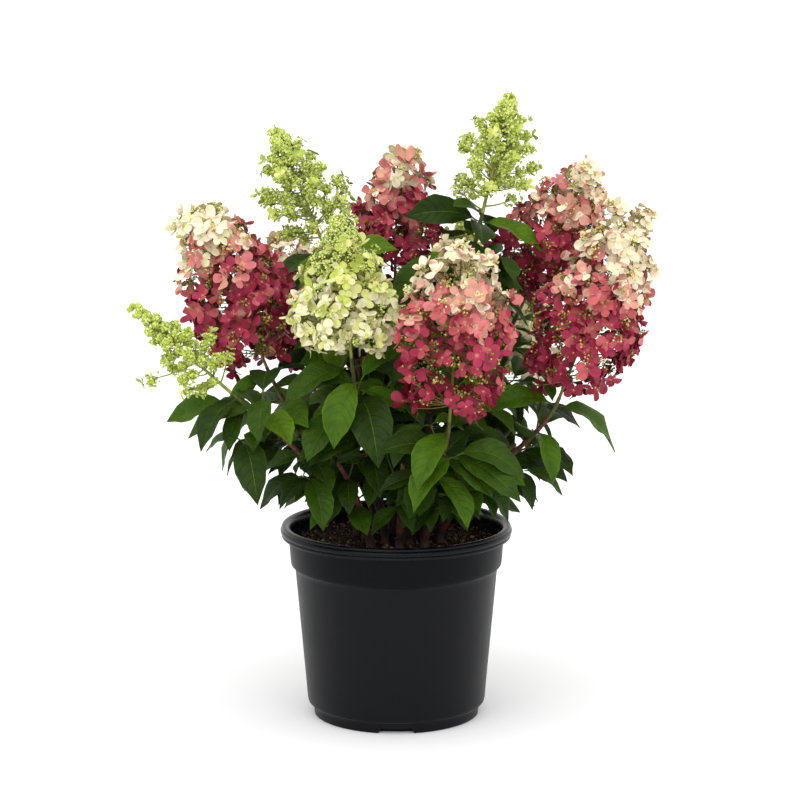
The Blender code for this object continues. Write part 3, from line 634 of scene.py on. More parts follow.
def leaf_choices(shoot_index, pair, half, points, place, share, phase):
    """The source's seeded tries for one leaf: root, heading, length and droop. Each pair is
    a quarter turn on, each try strays further, and the length swells with the sine of the
    share of the cane that is above it."""
    root, along = point_at(points, place)
    draw = random.Random(7919 * shoot_index + 101 * pair + half)
    across, ahead = square_to(along)
    size = LEAF_LENGTH * (0.74 + 0.30 * math.sin(math.pi * min(1.0, share + 0.22)))
    for attempt in range(LEAF_TRIES):
        spread = FIRST_STRAY + MORE_STRAY * attempt
        angle = math.radians(phase + 90 * pair + 180 * half + draw.uniform(-spread, spread))
        outward = across * math.cos(angle) + ahead * math.sin(angle)
        lean = math.radians(draw.uniform(*LEAF_LEAN) + 3 * attempt)
        heading = unit(along * math.cos(lean) + outward * math.sin(lean))
        if abs(heading[2]) > 0.9:
            heading = unit(heading + outward)
        heading = unit(heading + UP * max(0.0, LEAF_RISE - heading[2]))
        length = size * draw.uniform(0.92, 1.08) * (1 - 0.035 * attempt)
        droop = math.radians(draw.uniform(*LEAF_DROOP))
        yield root, heading, length, droop


def leaf_lines(roots, headings, lengths, droops, shares):
    """Midrib, and the directions along, across and square to the blade, of many leaves. The
    midrib turns down by droop times 1 - (1 - s) squared at share s of its length, and the
    blade rolls toward the direction away from the plant's middle."""
    side = unit(np.cross(headings, UP))
    upper = unit(np.cross(side, headings))[:, None]
    ahead = headings[:, None]
    away = unit((roots - FACE_MIDDLE) * FACE_SHARES) * FACE_OUT
    steps = np.arange(0, 1, LEAF_STEP)
    moves = swung(ahead, -upper, droops[:, None] * (1 - (1 - steps) ** 2))
    walked = np.cumsum(moves * lengths[:, None, None] * LEAF_STEP, axis=1)
    walked = np.concatenate([np.zeros((len(roots), 1, 3)), walked], axis=1)
    at = shares / LEAF_STEP
    index = np.minimum(at.astype(int), len(steps) - 1)
    part = (at - index)[None, :, None]
    middle = roots[:, None] + walked[:, index] * (1 - part) + walked[:, index + 1] * part
    turns = droops[:, None] * (1 - (1 - shares) ** 2)
    along = swung(ahead, -upper, turns)
    across = unit(np.cross(along, swung(upper, ahead, turns) + away[:, None]))
    return middle, along, across, np.cross(across, along)


def test_corners(choice):
    """The plain leaf of the solids: left edge, top, right edge and underside at four stations."""
    root, heading, length, droop = choice
    given = (root[None], heading[None], np.array([length]), np.array([droop]))
    middle, _, across, normal = (values[0] for values in leaf_lines(*given, TEST_SHARES))
    half = (TEST_WIDTHS * LEAF_HALF_WIDTH * length)[:, None]
    out = across * math.cos(LEAF_FOLD) * half
    rise = normal * math.sin(LEAF_FOLD) * half
    thick = normal * TEST_THICKNESS * length / 2
    return np.stack([middle - out + rise, middle + thick, middle + out + rise, middle - thick], 1)


def test_skin(corners, first):
    points = [Vector(corner) for corner in corners[first:].reshape(-1, 3)]
    faces = [tuple(map(int, face)) for face in grid_faces(len(corners) - first, 4)]
    return BVHTree.FromPolygons(points, faces)


def head_radius(shoot, t):
    """The head's radius at share t of its length: it swells as 1 - exp(-t / swell) and
    tapers as 1 - t to a power, over the greatest value that this has."""
    taper = HEAD_TAPER[shoot.kind]
    widest = HEAD_SWELL * math.log(1 + 1 / (HEAD_SWELL * taper))
    most = (1 - math.exp(-widest / HEAD_SWELL)) * (1 - widest) ** taper
    return shoot.radius * (1 - np.exp(-t / HEAD_SWELL)) * np.maximum(0.0, 1 - t) ** taper / most


def inside_a_head(corners):
    """Whether any of the leaf's points is in the space of a head."""
    for shoot in SHOOTS.values():
        if shoot.kind == "leafy":
            continue
        along = np.subtract(shoot.tip, shoot.base)
        length = np.linalg.norm(along)
        along = along / length
        apart = corners[1:, :3].reshape(-1, 3) - shoot.base
        t = apart @ along / length
        away = np.linalg.norm(apart - t[:, None] * along * length, axis=1)
        near = (t > -0.02) & (t < 1)
        if np.any(near & (away < HEAD_CLEARANCE * head_radius(shoot, np.clip(t, 0.05, 1)))):
            return True
    return False


def outside_the_room(corners):
    """Whether a leaf leaves the model's own box, or comes lower than the mix, or than a
    shallow cone that opens from just above the pot's rim."""
    points = corners.reshape(-1, 3)
    if np.any(points < np.array(cad_box[0])) or np.any(points > np.array(cad_box[1])):
        return True
    from_axis = np.hypot(points[:, 0], points[:, 1])
    least = POT_HEIGHT + RIM_CLEARANCE + RIM_SLOPE * (from_axis - RIM_RADIUS)
    least = np.where(from_axis > RIM_ZONE, least, SOIL_TOP + SOIL_CLEARANCE)
    return bool(np.any(points[:, 2] < least))


def finer(choice, share):
    """The same leaf at that share of its length, and smaller still low on the plant."""
    root, heading, length, droop = choice
    return root, heading, length * share * float(np.interp(root[2], SIZE_HEIGHTS, SIZE_SHARES)), droop


leaves = []
skins = []


def keep_leaf(owner, choice, corners, draw):
    leaves.append((*choice, draw.choice(LOW_TONES if choice[0][2] < LOW_LEAF else HIGH_TONES)))
    skins.append((owner, test_skin(corners, 0), test_skin(corners, 1)))


def is_clear(owner, corners):
    """Whether a further leaf keeps clear of heads, pot and every leaf so far. Leaves of one
    cane may touch at their stalks."""
    if outside_the_room(corners) or inside_a_head(corners):
        return False
    whole, blade = test_skin(corners, 0), test_skin(corners, 1)
    for other, other_whole, other_blade in skins:
        if blade.overlap(other_blade) if other == owner else whole.overlap(other_whole):
            return False
    return True


def grow_leaf(owner, choices, smaller, draw):
    """Keeps the first try that is clear once it is made smaller, and says if one was."""
    for choice in choices:
        choice = smaller(choice)
        corners = test_corners(choice)
        if is_clear(owner, corners):
            keep_leaf(owner, choice, corners, draw)
            return True
    return False


# first the leaves of the solids, each known by its tip
draw = random.Random(77)
for index, (name, shoot) in enumerate(SHOOTS.items()):
    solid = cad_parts["leaves_" + name].data
    tips = KDTree(len(solid.vertices))
    for number, vert in enumerate(solid.vertices):
        tips.insert(vert.co, number)
    tips.balance()
    points = cane_paths[name]
    places = pair_places(lengths_along(points)[-1])
    for pair, place in enumerate(places):
        share = pair / max(1, len(places) - 1)
        for half in range(2):
            for choice in leaf_choices(index, pair, half, points, place, share, shoot.top_pair):
                if tips.find(Vector(test_corners(choice)[-1, 0]))[2] < SAME_PLACE:
                    choice = finer(choice, draw.uniform(*SOLID_LEAVES))
                    keep_leaf(name, choice, test_corners(choice), draw)
                    break


def smaller_and_flatter(choice):
    root, heading, length, droop = choice
    return root, heading, length * draw.uniform(*WHORL_LEAVES), droop * 0.7


# the tall shoots carry rings of smaller leaves close under their sprays
for index, (name, shoot) in enumerate(SHOOTS.items()):
    if not name.startswith("tall"):
        continue
    points = cane_paths[name]
    length = lengths_along(points)[-1]
    draw = random.Random(5200 + index)
    for number, depth in enumerate(WHORL_DEPTHS):
        for half in range(2):
            choices = leaf_choices(60 + index, number, half, points, length - depth, 0.2,
                                   shoot.top_pair - 60 * number + 50)
            grow_leaf(name, choices, smaller_and_flatter, draw)


def twig_sized(choice):
    return finer(choice, draw.uniform(*TWIG_LEAVES))


# then finer twigs from the joints, by the same rule at a smaller size
twigs = []
for index, (name, shoot) in enumerate(SHOOTS.items()):
    points = cane_paths[name]
    draw = random.Random(4000 + index)
    for number, place in enumerate(pair_places(lengths_along(points)[-1])[1:] + [LOWEST_TWIG]):
        for half in range(2):
            if draw.random() > TWIG_SHARES.get(name, TWIG_SHARE) * min(1.0, 0.35 + place / 0.16):
                continue
            root, along = point_at(points, place)
            across, ahead = square_to(along)
            angle = math.radians(shoot.top_pair + 90 * (number + 1) + 180 * half + draw.uniform(-35, 35))
            outward = across * math.cos(angle) + ahead * math.sin(angle)
            way = unit(along * 0.9 + outward)
            reach = draw.uniform(*TWIG_LENGTHS)
            end = root + way * reach + UP * reach * 0.15
            line = bezier(root, root + way * reach * 0.4, end - way * reach * 0.3, end, np.linspace(0, 1, 6))
            grown = 0
            for pair in range(TWIG_PAIRS):
                joint = lengths_along(line)[-1] * (1 - 0.5 * pair)
                for side in range(2):
                    choices = leaf_choices(90 + index, 10 * number + 5 * half + pair, side, line, joint,
                                           0.3 * pair, shoot.top_pair + 45 + 60 * number)
                    grown += grow_leaf(name, choices, twig_sized, draw)
            if grown:
                twigs.append(line)

# the blade's own mesh: shares of its length from stalk to tip, and shares of its half width
# over the top from edge to edge and back below, with the midrib between two of them
LEAF_ROWS = np.array([0, .05, .10, .13, .17, .24, .32, .41, .50, .59, .68, .77, .85, .92, .97, 1.0])
LEAF_SIDES = np.array([-1, -0.52, -0.022, 0.022, 0.52, 1, 0.52, 0, -0.52])
UPPER_STRIPS = 5
RIB_STRIP = 2
BLADE_START = 0.12
STALK_HALF_WIDTH = 0.0011
STALK_THICKNESS = 0.0009
BLADE_THICKNESS = 0.0004
# how wide leaves are beside the solids' leaf, how far they fold, and how they wave, in
# turns along the blade and as a share of the half width
BLADE_WIDTHS = (0.80, 0.97)
BLADE_FOLDS = (math.radians(8), math.radians(24))
WAVE_TURNS = (1.4, 2.6)
WAVE = 0.12
BULGE = 0.11
TEETH = 0.025
TWIST = 0.22
RIB_SLOT, UNDER_SLOT = 4, 5
LEAF_TONES = {
    "deep": ((24, 42, 3), (36, 57, 4)), "full": ((34, 58, 3), (50, 76, 5)),
    "bright": ((48, 78, 4), (66, 96, 7)), "fresh": ((64, 94, 6), (86, 116, 12)),
    "rib": ((54, 80, 14), (74, 100, 26)), "under": ((58, 80, 28), (80, 102, 42)),
}


def leaf_outline(shares):
    """Half width of the blade over its greatest: the sine of pi times b to the power 0.9,
    to the power 0.8, where b is the share of the blade above the leaf's stalk. The last
    quarter is drawn in to a longer tip."""
    b = np.clip((shares - BLADE_START) / (1 - BLADE_START), 0, 1)
    tip = 1 - 0.45 * np.clip((b - 0.72) / 0.26, 0, 1)
    return np.sin(np.pi * b**0.9) ** 0.8 * tip


roots, headings, leaf_lengths, droops, tones = (np.array(values) for values in zip(*leaves))
draw = np.random.default_rng(21)
middle, _, across, normal = leaf_lines(roots, headings, leaf_lengths, droops, LEAF_ROWS)
scale = leaf_lengths[:, None]
teeth = 1 + TEETH * np.where(np.arange(len(LEAF_ROWS)) % 2, 1, -1)
slim = draw.uniform(*BLADE_WIDTHS, (len(leaves), 1))
half = np.maximum(LEAF_HALF_WIDTH * scale * slim * leaf_outline(LEAF_ROWS) * teeth, STALK_HALF_WIDTH)
half[:, [0, -1]] = 0
thick = np.where(LEAF_ROWS < BLADE_START + 0.02, STALK_THICKNESS, BLADE_THICKNESS) * np.ones_like(scale)
thick[:, [0, -1]] = 0
fold = draw.uniform(*BLADE_FOLDS, (len(leaves), 1))
wave_phase = draw.uniform(0, 2 * np.pi, (len(leaves), 1, 2))
wave_turns = draw.uniform(*WAVE_TURNS, (len(leaves), 1))
waves = np.sin((2 * np.pi * wave_turns * LEAF_ROWS)[..., None] + wave_phase)
wave = np.where(LEAF_SIDES < 0, waves[..., :1], waves[..., 1:])
# the blade rises with its fold, waves at the edges, bulges between rib and edge, and has
# its thickness on both sides of the middle
rise = np.abs(LEAF_SIDES) * half[..., None] * np.sin(fold)[..., None]
rise = rise + WAVE * half[..., None] * wave * LEAF_SIDES**2
rise = rise + BULGE * half[..., None] * (1 - (2 * np.abs(LEAF_SIDES) - 1) ** 2)
above = np.where(np.arange(len(LEAF_SIDES)) > UPPER_STRIPS, -1, 1)
rise = rise + thick[..., None] * (1 - LEAF_SIDES**2) * above
twist = draw.normal(0, TWIST, (len(leaves), 1)) * LEAF_ROWS
spread = LEAF_SIDES * half[..., None] * np.cos(fold)[..., None]
leaf_points = middle[:, :, None] + swung(across, normal, twist)[:, :, None] * spread[..., None]
leaf_points = leaf_points + swung(normal, -across, twist)[:, :, None] * rise[..., None]
rows, columns = len(LEAF_ROWS), len(LEAF_SIDES)
one_leaf = grid_faces(rows, columns)
row_of_face = np.repeat(np.arange(rows - 1), columns)
strip_of_face = np.tile(np.arange(columns), rows - 1)
# a quad below starts one corner on, so that both sides split along the same diagonals
one_leaf[strip_of_face >= UPPER_STRIPS] = np.roll(one_leaf[strip_of_face >= UPPER_STRIPS], -1, axis=1)
leaf_slots = np.repeat(tones[:, None], len(one_leaf), 1)
leaf_slots[:, strip_of_face >= UPPER_STRIPS] = UNDER_SLOT
leaf_slots[:, (strip_of_face == RIB_STRIP) | (LEAF_ROWS[row_of_face] < BLADE_START)] = RIB_SLOT
# each point knows its share of the length and of the half width, for the veins
leaf_place = np.stack(np.broadcast_arrays(LEAF_ROWS[:, None], np.abs(LEAF_SIDES)[None], 0.0), -1)
leaf_place = np.broadcast_to(leaf_place, (len(leaves), rows, columns, 3))

leaf_finishes = []
for word, (dark, light) in LEAF_TONES.items():
    blade = Finish("leaf_" + word, 0.5, specular=0.13)
    place = blade.add("ShaderNodeAttribute", {"attribute_name": "leaf_place"}, {}, "Vector")
    split = blade.add("ShaderNodeSeparateXYZ", {}, {0: place}, 0)
    outward = Signal(blade, split.socket.node.outputs[1])
    ways = split * 9.0 - outward * 1.1 - outward * outward * 0.7
    veins = blade.band(blade.add("ShaderNodeMath", {"operation": "PINGPONG"}, {0: ways, 1: 0.5}), 0.0, 0.10)
    mottle = blade.noise(70.0, 4.0)
    tone = blade.two_tone(mottle, 0.3, 0.7, dark, light)
    pale = linear(*(min(255, int(part * 1.25 + 14)) for part in light))
    margin = blade.band(outward, 0.88, 1.0)
    blade.colour(blade.blend((1 - veins) * 0.20 + margin * 0.28, tone, pale))
    blade.roughness(0.66 + 0.1 * mottle if word == "under" else 0.40 + 0.16 * mottle)
    blade.bump(veins + 0.5 * blade.noise(400.0, 2.0), 0.0011, 0.7)
    leaf_finishes.append(blade)

leaf_faces = repeated(one_leaf, rows * columns, len(leaves))
foliage = make_piece("foliage", leaf_points.reshape(-1, 3), leaf_faces, leaf_finishes, leaf_slots.ravel(),
                     sharp=70.0, attributes={"leaf_place": leaf_place.reshape(-1, 3)})
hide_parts(*[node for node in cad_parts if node.startswith("leaves_")])
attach(foliage, "root")


def tapered(paths, radii, sides):
    """Tubes whose radius goes evenly from the first of two values to the second."""
    return tubes(paths, np.broadcast_to(np.linspace(*radii, paths.shape[1]), paths.shape[:2]), sides)


side_twigs = make_piece("side_twigs", *tapered(np.array(twigs), TWIG_RADII, 5), [bark_finishes[2]])
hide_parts(*[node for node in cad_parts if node.startswith("leaves_")])
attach(side_twigs, "root")


# The blossom: sterile florets of four rounded sepals, packed over each panicle on thin
# stalks. They open lime and cream and turn blush, rose and crimson from the foot upwards.
# Under them a stalk runs through each head, with side branches that end in tufts of buds.
GOLDEN_ANGLE = math.radians(137.508)
BUD_TONES = {
    "green": ((152, 170, 60), (188, 202, 96)), "lime": ((190, 202, 106), (224, 230, 152)),
    "gold": ((184, 152, 74), (222, 198, 124)), "olive": ((112, 98, 38), (152, 134, 60)),
}
GREEN, LIME, GOLD, OLIVE = range(4)
# from this share of a rose head's length up its tufts are lighter
LIGHT_TUFTS = 0.64
# radii of stalks at their two ends
HEAD_STALK = (0.0019, 0.0009)
BRANCH_STALK = (0.0009, 0.0006)
FLORET_STALK = (0.0006, 0.0005)
BUD_STALK = (0.0004, 0.0003)
# a tuft's radius, its buds and the radius of one
END_TUFT = (0.0070, 14, 0.00125)
INNER_TUFT = (0.0100, 18, 0.0014)
EYE_RADIUS = 0.0011
# a sepal's half width at shares of its length
SEPAL_ALONG = np.array([0.0, 0.20, 0.45, 0.72, 0.92, 1.0])
SEPAL_WIDTH = np.array([0.05, 0.24, 0.39, 0.41, 0.25, 0.0])
SEPAL_SIZES = (0.78, 1.10)
# the middle and the spread of how far sepals cup and curl, and how much of them is mixed
SEPAL_CUPS = (0.20, 0.32)
SEPAL_CURLS = (0.16, 0.28)
MIXED_SEPALS = 0.22
FLORET_RADII = {"cream": (0.0104, 0.0134), "rose": (0.0114, 0.0150)}
# smaller florets stand from this share of a head's length up
SMALL_FROM = 0.84
SMALL_SIZE = 0.88
# from this share up a cream head is mostly in bud, and this share of its florets is open
CREAM_TIP = 0.66
CREAM_TIP_FLORETS = 0.22
# a head's surface, and what each side branch covers of it
AREA_STEPS = 60
CLUSTER_AREA = {"cream": 0.00145, "rose": 0.0019}
CLUSTER_FLORETS = 7
CLUSTER_REACH = (0.56, 0.80)
LOWEST_CLUSTER = 0.10
DOME = (0.014, 0.020)
DOME_SPREAD = math.radians(82)
# florets and tufts deep in a head, for each side branch, and where they stand
FILLING = {"cream": 2.2, "rose": 2.3}
FILLING_REACH = {"cream": (0.48, 0.74), "rose": (0.42, 0.68)}
FILLING_TOP = {"cream": 0.62, "rose": 1.0}
INNER_TUFTS = 2.1
INNER_TUFT_REACH = (0.48, 0.84)
# loose florets at a head's foot: how many, and shares of its length and radius
LOOSE_FLORETS = {"front_right": 20, "right": 12, "front_left": 9}
FEW_FLORETS = 6
LOOSE_PLACES = (-0.06, 0.16)
LOOSE_REACH = (0.15, 0.78)
# the share of its length up to which a head's foot is as wide as there
FLAT_FOOT = {"cream": 0.17, "rose": 0.03}
# what makes a head narrower toward its tip than the solid's is: the power of 1 - t
SLIMMER = {"cream": 0.30, "rose": 0.0}
# up to which share of its length a head is open, and the share of side branches missing there
OPEN_FEET = {"front_right": (0.40, 0.34), "right": (0.30, 0.16), "front_left": (0.0, 0.0)}
OPEN_FOOT = (0.25, 0.20)
# each tone of sepals, the one round a floret's eye, and the one at the ends of some sepals
SEPAL_TONES = {
    "lime": ((192, 204, 92), "lemon", "lime"), "lemon": ((222, 224, 142), "lime", "cream"),
    "cream": ((244, 238, 192), "lemon", "ivory"), "ivory": ((250, 234, 204), "cream", "blush"),
    "blush": ((226, 163, 142), "ivory", "pink"), "pink": ((211, 120, 121), "blush", "salmon"),
    "salmon": ((194, 90, 94), "pink", "rose"), "rose": ((168, 48, 76), "salmon", "crimson"),
    "crimson": ((140, 28, 53), "rose", "wine"), "wine": ((100, 21, 35), "crimson", "wine"),
    "green": ((168, 186, 84), "lime", "lime"),
}
SEPAL_WORDS = list(SEPAL_TONES)
# for each head, the tone of its sepals up to each share of its length
HEAD_TONES = {
    "front_left": (("cream", 0.40), ("lemon", 0.66), ("lime", 2.0)),
    "front_right": (("crimson", 0.14), ("rose", 0.45), ("salmon", 0.60), ("pink", 0.67), ("blush", 0.73),
                    ("ivory", 2.0)),
    "right": (("crimson", 0.20), ("rose", 0.44), ("salmon", 0.50), ("pink", 0.56), ("blush", 0.62),
              ("ivory", 2.0)),
    "right_rear": (("wine", 0.08), ("crimson", 0.34), ("rose", 0.50), ("salmon", 0.60), ("pink", 0.70),
                   ("blush", 0.82), ("ivory", 2.0)),
    "back": (("wine", 0.10), ("crimson", 0.40), ("rose", 0.58), ("pink", 0.73), ("blush", 0.79),
             ("ivory", 2.0)),
    "left": (("crimson", 0.28), ("rose", 0.52), ("salmon", 0.59), ("pink", 0.66), ("blush", 0.71),
             ("ivory", 0.84), ("cream", 2.0)),
    "back_left": (("wine", 0.12), ("crimson", 0.38), ("rose", 0.62), ("pink", 0.80), ("ivory", 2.0)),
    "back_right": (("ivory", 0.30), ("cream", 0.62), ("lemon", 0.82), ("lime", 2.0)),
    "rear_low": (("crimson", 0.30), ("rose", 0.58), ("salmon", 0.70), ("blush", 0.82), ("ivory", 2.0)),
}

bud_finishes = []
for word, (dark, light) in BUD_TONES.items():
    bud = Finish("bud_" + word, 0.5, specular=0.3)
    bud.colour(bud.two_tone(bud.noise(330.0, 3.0), 0.3, 0.7, dark, light))
    bud.bump(bud.noise(1500.0, 2.0), 0.0004, 0.5)
    bud_finishes.append(bud)

sepal_finishes = []
for word, (tone, _, _) in SEPAL_TONES.items():
    sepal = Finish("sepal_" + word, 0.55, specular=0.25)
    shade = [int(part * 0.84) for part in tone]
    sepal.colour(sepal.two_tone(sepal.noise(110.0, 3.0), 0.30, 0.70, shade, tone))
    sepal.bump(sepal.noise(520.0, 3.0), 0.0006, 0.4)
    sepal_finishes.append(sepal)


def head_frame(shoot):
    """Base, direction, length, and the two directions square to it, of a head."""
    way = np.subtract(shoot.tip, shoot.base)
    length = np.linalg.norm(way)
    along = way / length
    across = unit(np.cross(along, FORWARD))
    return np.array(shoot.base), along, length, across, np.cross(along, across)


def outward_at(shoot, angle):
    return swung(*head_frame(shoot)[3:], angle)


def spiral_places(shoot, count, steps=240):
    """Shares of the head's length that cover its surface evenly, each a golden angle on."""
    middles = (np.arange(steps) + 0.5) / steps
    area = np.concatenate([[0], np.cumsum(head_radius(shoot, middles) + 0.001)])
    wanted = area[-1] * (np.arange(count) + 0.5) / count
    return np.interp(wanted, area, np.arange(steps + 1) / steps), np.arange(count) * GOLDEN_ANGLE


def curved(starts, ends, lift, count=4):
    """Short paths from start to end that bow by the lift, as t times 1 - t."""
    t = np.linspace(0, 1, count)[None, :, None]
    return starts[:, None] * (1 - t) + ends[:, None] * t + 4 * t * (1 - t) * lift[:, None]


one_bud, bud_sides = ball(2, 5)


class Growth:
    """What one kind of panicle gathers before its meshes are made: stems, and buds with
    the tone of each."""

    def __init__(self):
        self.stems = []
        self.buds = []
        self.tones = []

    def add_stems(self, paths, radii, sides=4):
        self.stems.append(tapered(paths, radii, sides))

    def add_buds(self, draw, centres, sizes, tones, shares):
        """Small round buds, each a little longer than wide."""
        stretch = sizes[:, None] * np.array([1.0, 1.0, 1.2])
        self.buds.append(stamped(one_bud, bud_sides, centres, random_axes(draw, len(centres)), stretch))
        self.tones.append(draw.choice(tones, len(centres), p=shares))

    def add_tufts(self, draw, centres, ways, tuft, tones, shares):
        """Buds on the outer side of a small rounded tuft at the end of each branch. Every
        third has a stalk that can be seen."""
        size, count, bud_size = tuft
        size = np.broadcast_to(size, len(centres))
        spots = unit(draw.normal(size=(len(centres), count, 3)) + ways[:, None] * 0.7)
        reach = size[:, None, None] * draw.uniform(0.55, 1.05, (len(centres), count, 1))
        spots = (centres[:, None] + spots * reach).reshape(-1, 3)
        feet = np.repeat(centres - ways * size[:, None] * 0.6, count, 0)
        self.add_stems(curved(feet[::3], spots[::3], np.zeros_like(spots[::3]), 2), BUD_STALK, 3)
        self.add_buds(draw, spots, bud_size * draw.uniform(0.8, 1.25, len(spots)), tones, shares)


def florets(draw, centres, facing, radii):
    """Four sepals round each centre. A sepal's point is the centre plus its share along
    times the radius, its width across, and a rise that cups it with the share squared."""
    count = len(centres)
    across = unit(np.cross(facing, draw.normal(size=(count, 3))))
    ahead = np.cross(facing, across)
    turns = draw.uniform(0, 2 * np.pi, (count, 1)) + np.arange(4) * np.pi / 2
    turns = turns + draw.normal(0, 0.10, (count, 4))
    sizes = radii[:, None] * draw.uniform(*SEPAL_SIZES, (count, 4))
    cups = draw.normal(*SEPAL_CUPS, (count, 1)) + draw.normal(0, 0.20, (count, 4))
    curls = draw.normal(*SEPAL_CURLS, (count, 4))
    way = swung(across[:, None], ahead[:, None], turns)
    side = swung(ahead[:, None], -across[:, None], turns)
    a = SEPAL_ALONG[None, None, :, None]
    wide = np.array([-1.0, 0.0, 1.0]) * SEPAL_WIDTH[None, None, :, None]
    layers = np.where(np.arange(4) % 2, 0.05, 0.0)[None, :, None, None]
    rise = cups[..., None, None] * a**2 + curls[..., None, None] * wide**2 * 4 * a + layers * (a > 0)
    points = centres[:, None, None, None] + sizes[..., None, None, None] * (
        way[:, :, None, None] * a[..., None] + side[:, :, None, None] * wide[..., None]
        + facing[:, None, None, None] * rise[..., None])
    rows, columns = len(SEPAL_ALONG), 3
    row, column = np.meshgrid(np.arange(rows - 1), np.arange(columns - 1), indexing="ij")
    here = (row * columns + column).ravel()
    one_sepal = np.stack([here, here + columns, here + columns + 1, here + 1], -1)
    return points.reshape(-1, 3), repeated(one_sepal, rows * columns, count * 4)


def floret_slots(draw, tones):
    """Each floret's own tone, the next paler or greener one round its eye, and a deeper one
    toward the ends of some sepals."""
    outer = np.array([SEPAL_WORDS.index(tone) for tone in tones])
    inner = np.array([SEPAL_WORDS.index(SEPAL_TONES[tone][1]) for tone in tones])
    edge = np.array([SEPAL_WORDS.index(SEPAL_TONES[tone][2]) for tone in tones])
    faces = (len(SEPAL_ALONG) - 1) * 2
    shift = draw.uniform(size=(len(tones), 4, 1)) < MIXED_SEPALS
    slots = np.where(shift, inner[:, None, None], outer[:, None, None]) * np.ones(faces, int)
    slots[:, :, :2] = inner[:, None, None]
    edged = draw.uniform(size=(len(tones), 4, 1)) < MIXED_SEPALS
    slots[:, :, -4:] = np.where(edged, edge[:, None, None], slots[:, :, -4:])
    return slots.reshape(-1)


def tones_at(draw, name, t):
    """The head's tone at each share of its length, a little mixed with its neighbours."""
    limits = [limit for _, limit in HEAD_TONES[name][:-1]]
    steps = np.digitize(t + draw.normal(0, 0.09, len(t)) * np.where(t > 0.8, 0.5, 1.0), limits)
    return [HEAD_TONES[name][step][0] for step in steps]


def head_surface(shoot, t, angle, reach):
    """Points at a share of the head's radius, and the directions that they face."""
    base, along, length, _, _ = head_frame(shoot)
    widest = np.maximum(t, FLAT_FOOT[shoot.kind])
    slim = np.maximum(0, 1 - t) ** SLIMMER[shoot.kind]
    radius = head_radius(shoot, widest) * slim
    slope = (head_radius(shoot, widest + 0.01) * slim - radius) / (0.01 * length)
    outward = outward_at(shoot, angle)
    facing = unit(outward - along * np.clip(slope, -2.5, 0.6)[:, None])
    return base + along * (length * t)[:, None] + outward * (radius * reach)[:, None], facing


def dome_directions(draw, normals):
    """Directions spread over a dome round each normal: the k-th leans by the angle whose
    cosine falls evenly from 1, and is turned by k golden angles."""
    first = unit(np.cross(normals, draw.normal(size=normals.shape)))
    second = np.cross(normals, first)
    k = np.arange(CLUSTER_FLORETS)
    lean = np.arccos(1 - (k + 0.5) / CLUSTER_FLORETS * (1 - math.cos(DOME_SPREAD)))
    lean = lean + draw.normal(0, 0.14, (len(normals), CLUSTER_FLORETS))
    turn = k * GOLDEN_ANGLE + draw.normal(0, 0.2, (len(normals), CLUSTER_FLORETS))
    return swung(normals[:, None], swung(first[:, None], second[:, None], turn), lean)


head_growth = {"cream": Growth(), "rose": Growth()}
blossom = {"cream": ([], []), "rose": ([], [])}
blossom_heads = {name: shoot for name, shoot in SHOOTS.items() if shoot.kind in blossom}


def add_florets(draw, name, shoot, centres, facing, radii, t, starts):
    """Florets on thin stalks, in the head's tones, with a small bud as the eye of each."""
    growth = head_growth[shoot.kind]
    growth.add_stems(curved(starts, centres, draw.normal(size=centres.shape) * 0.002), FLORET_STALK, 3)
    parts, slots = blossom[shoot.kind]
    parts.append(florets(draw, centres, facing, radii))
    slots.append(floret_slots(draw, tones_at(draw, name, t)))
    eye = LIME if shoot.kind == "cream" else GOLD
    sizes = np.full(len(centres), EYE_RADIUS)
    growth.add_buds(draw, centres + facing * 0.0006, sizes, [eye, GREEN], [0.8, 0.2])


def tuft_tones(kind, t):
    """Which tufts are in which bud tones: lime in cream heads, and in the rose heads gold
    with olive below, and lighter toward the tip."""
    if kind == "cream":
        return [(t < 2, ([GREEN, LIME, GOLD], [0.3, 0.6, 0.1]))]
    return [(t < LIGHT_TUFTS, ([GREEN, LIME, GOLD, OLIVE], [0.14, 0.04, 0.26, 0.56])),
            (t >= LIGHT_TUFTS, ([GREEN, LIME, GOLD, OLIVE], [0.06, 0.34, 0.60, 0.00]))]


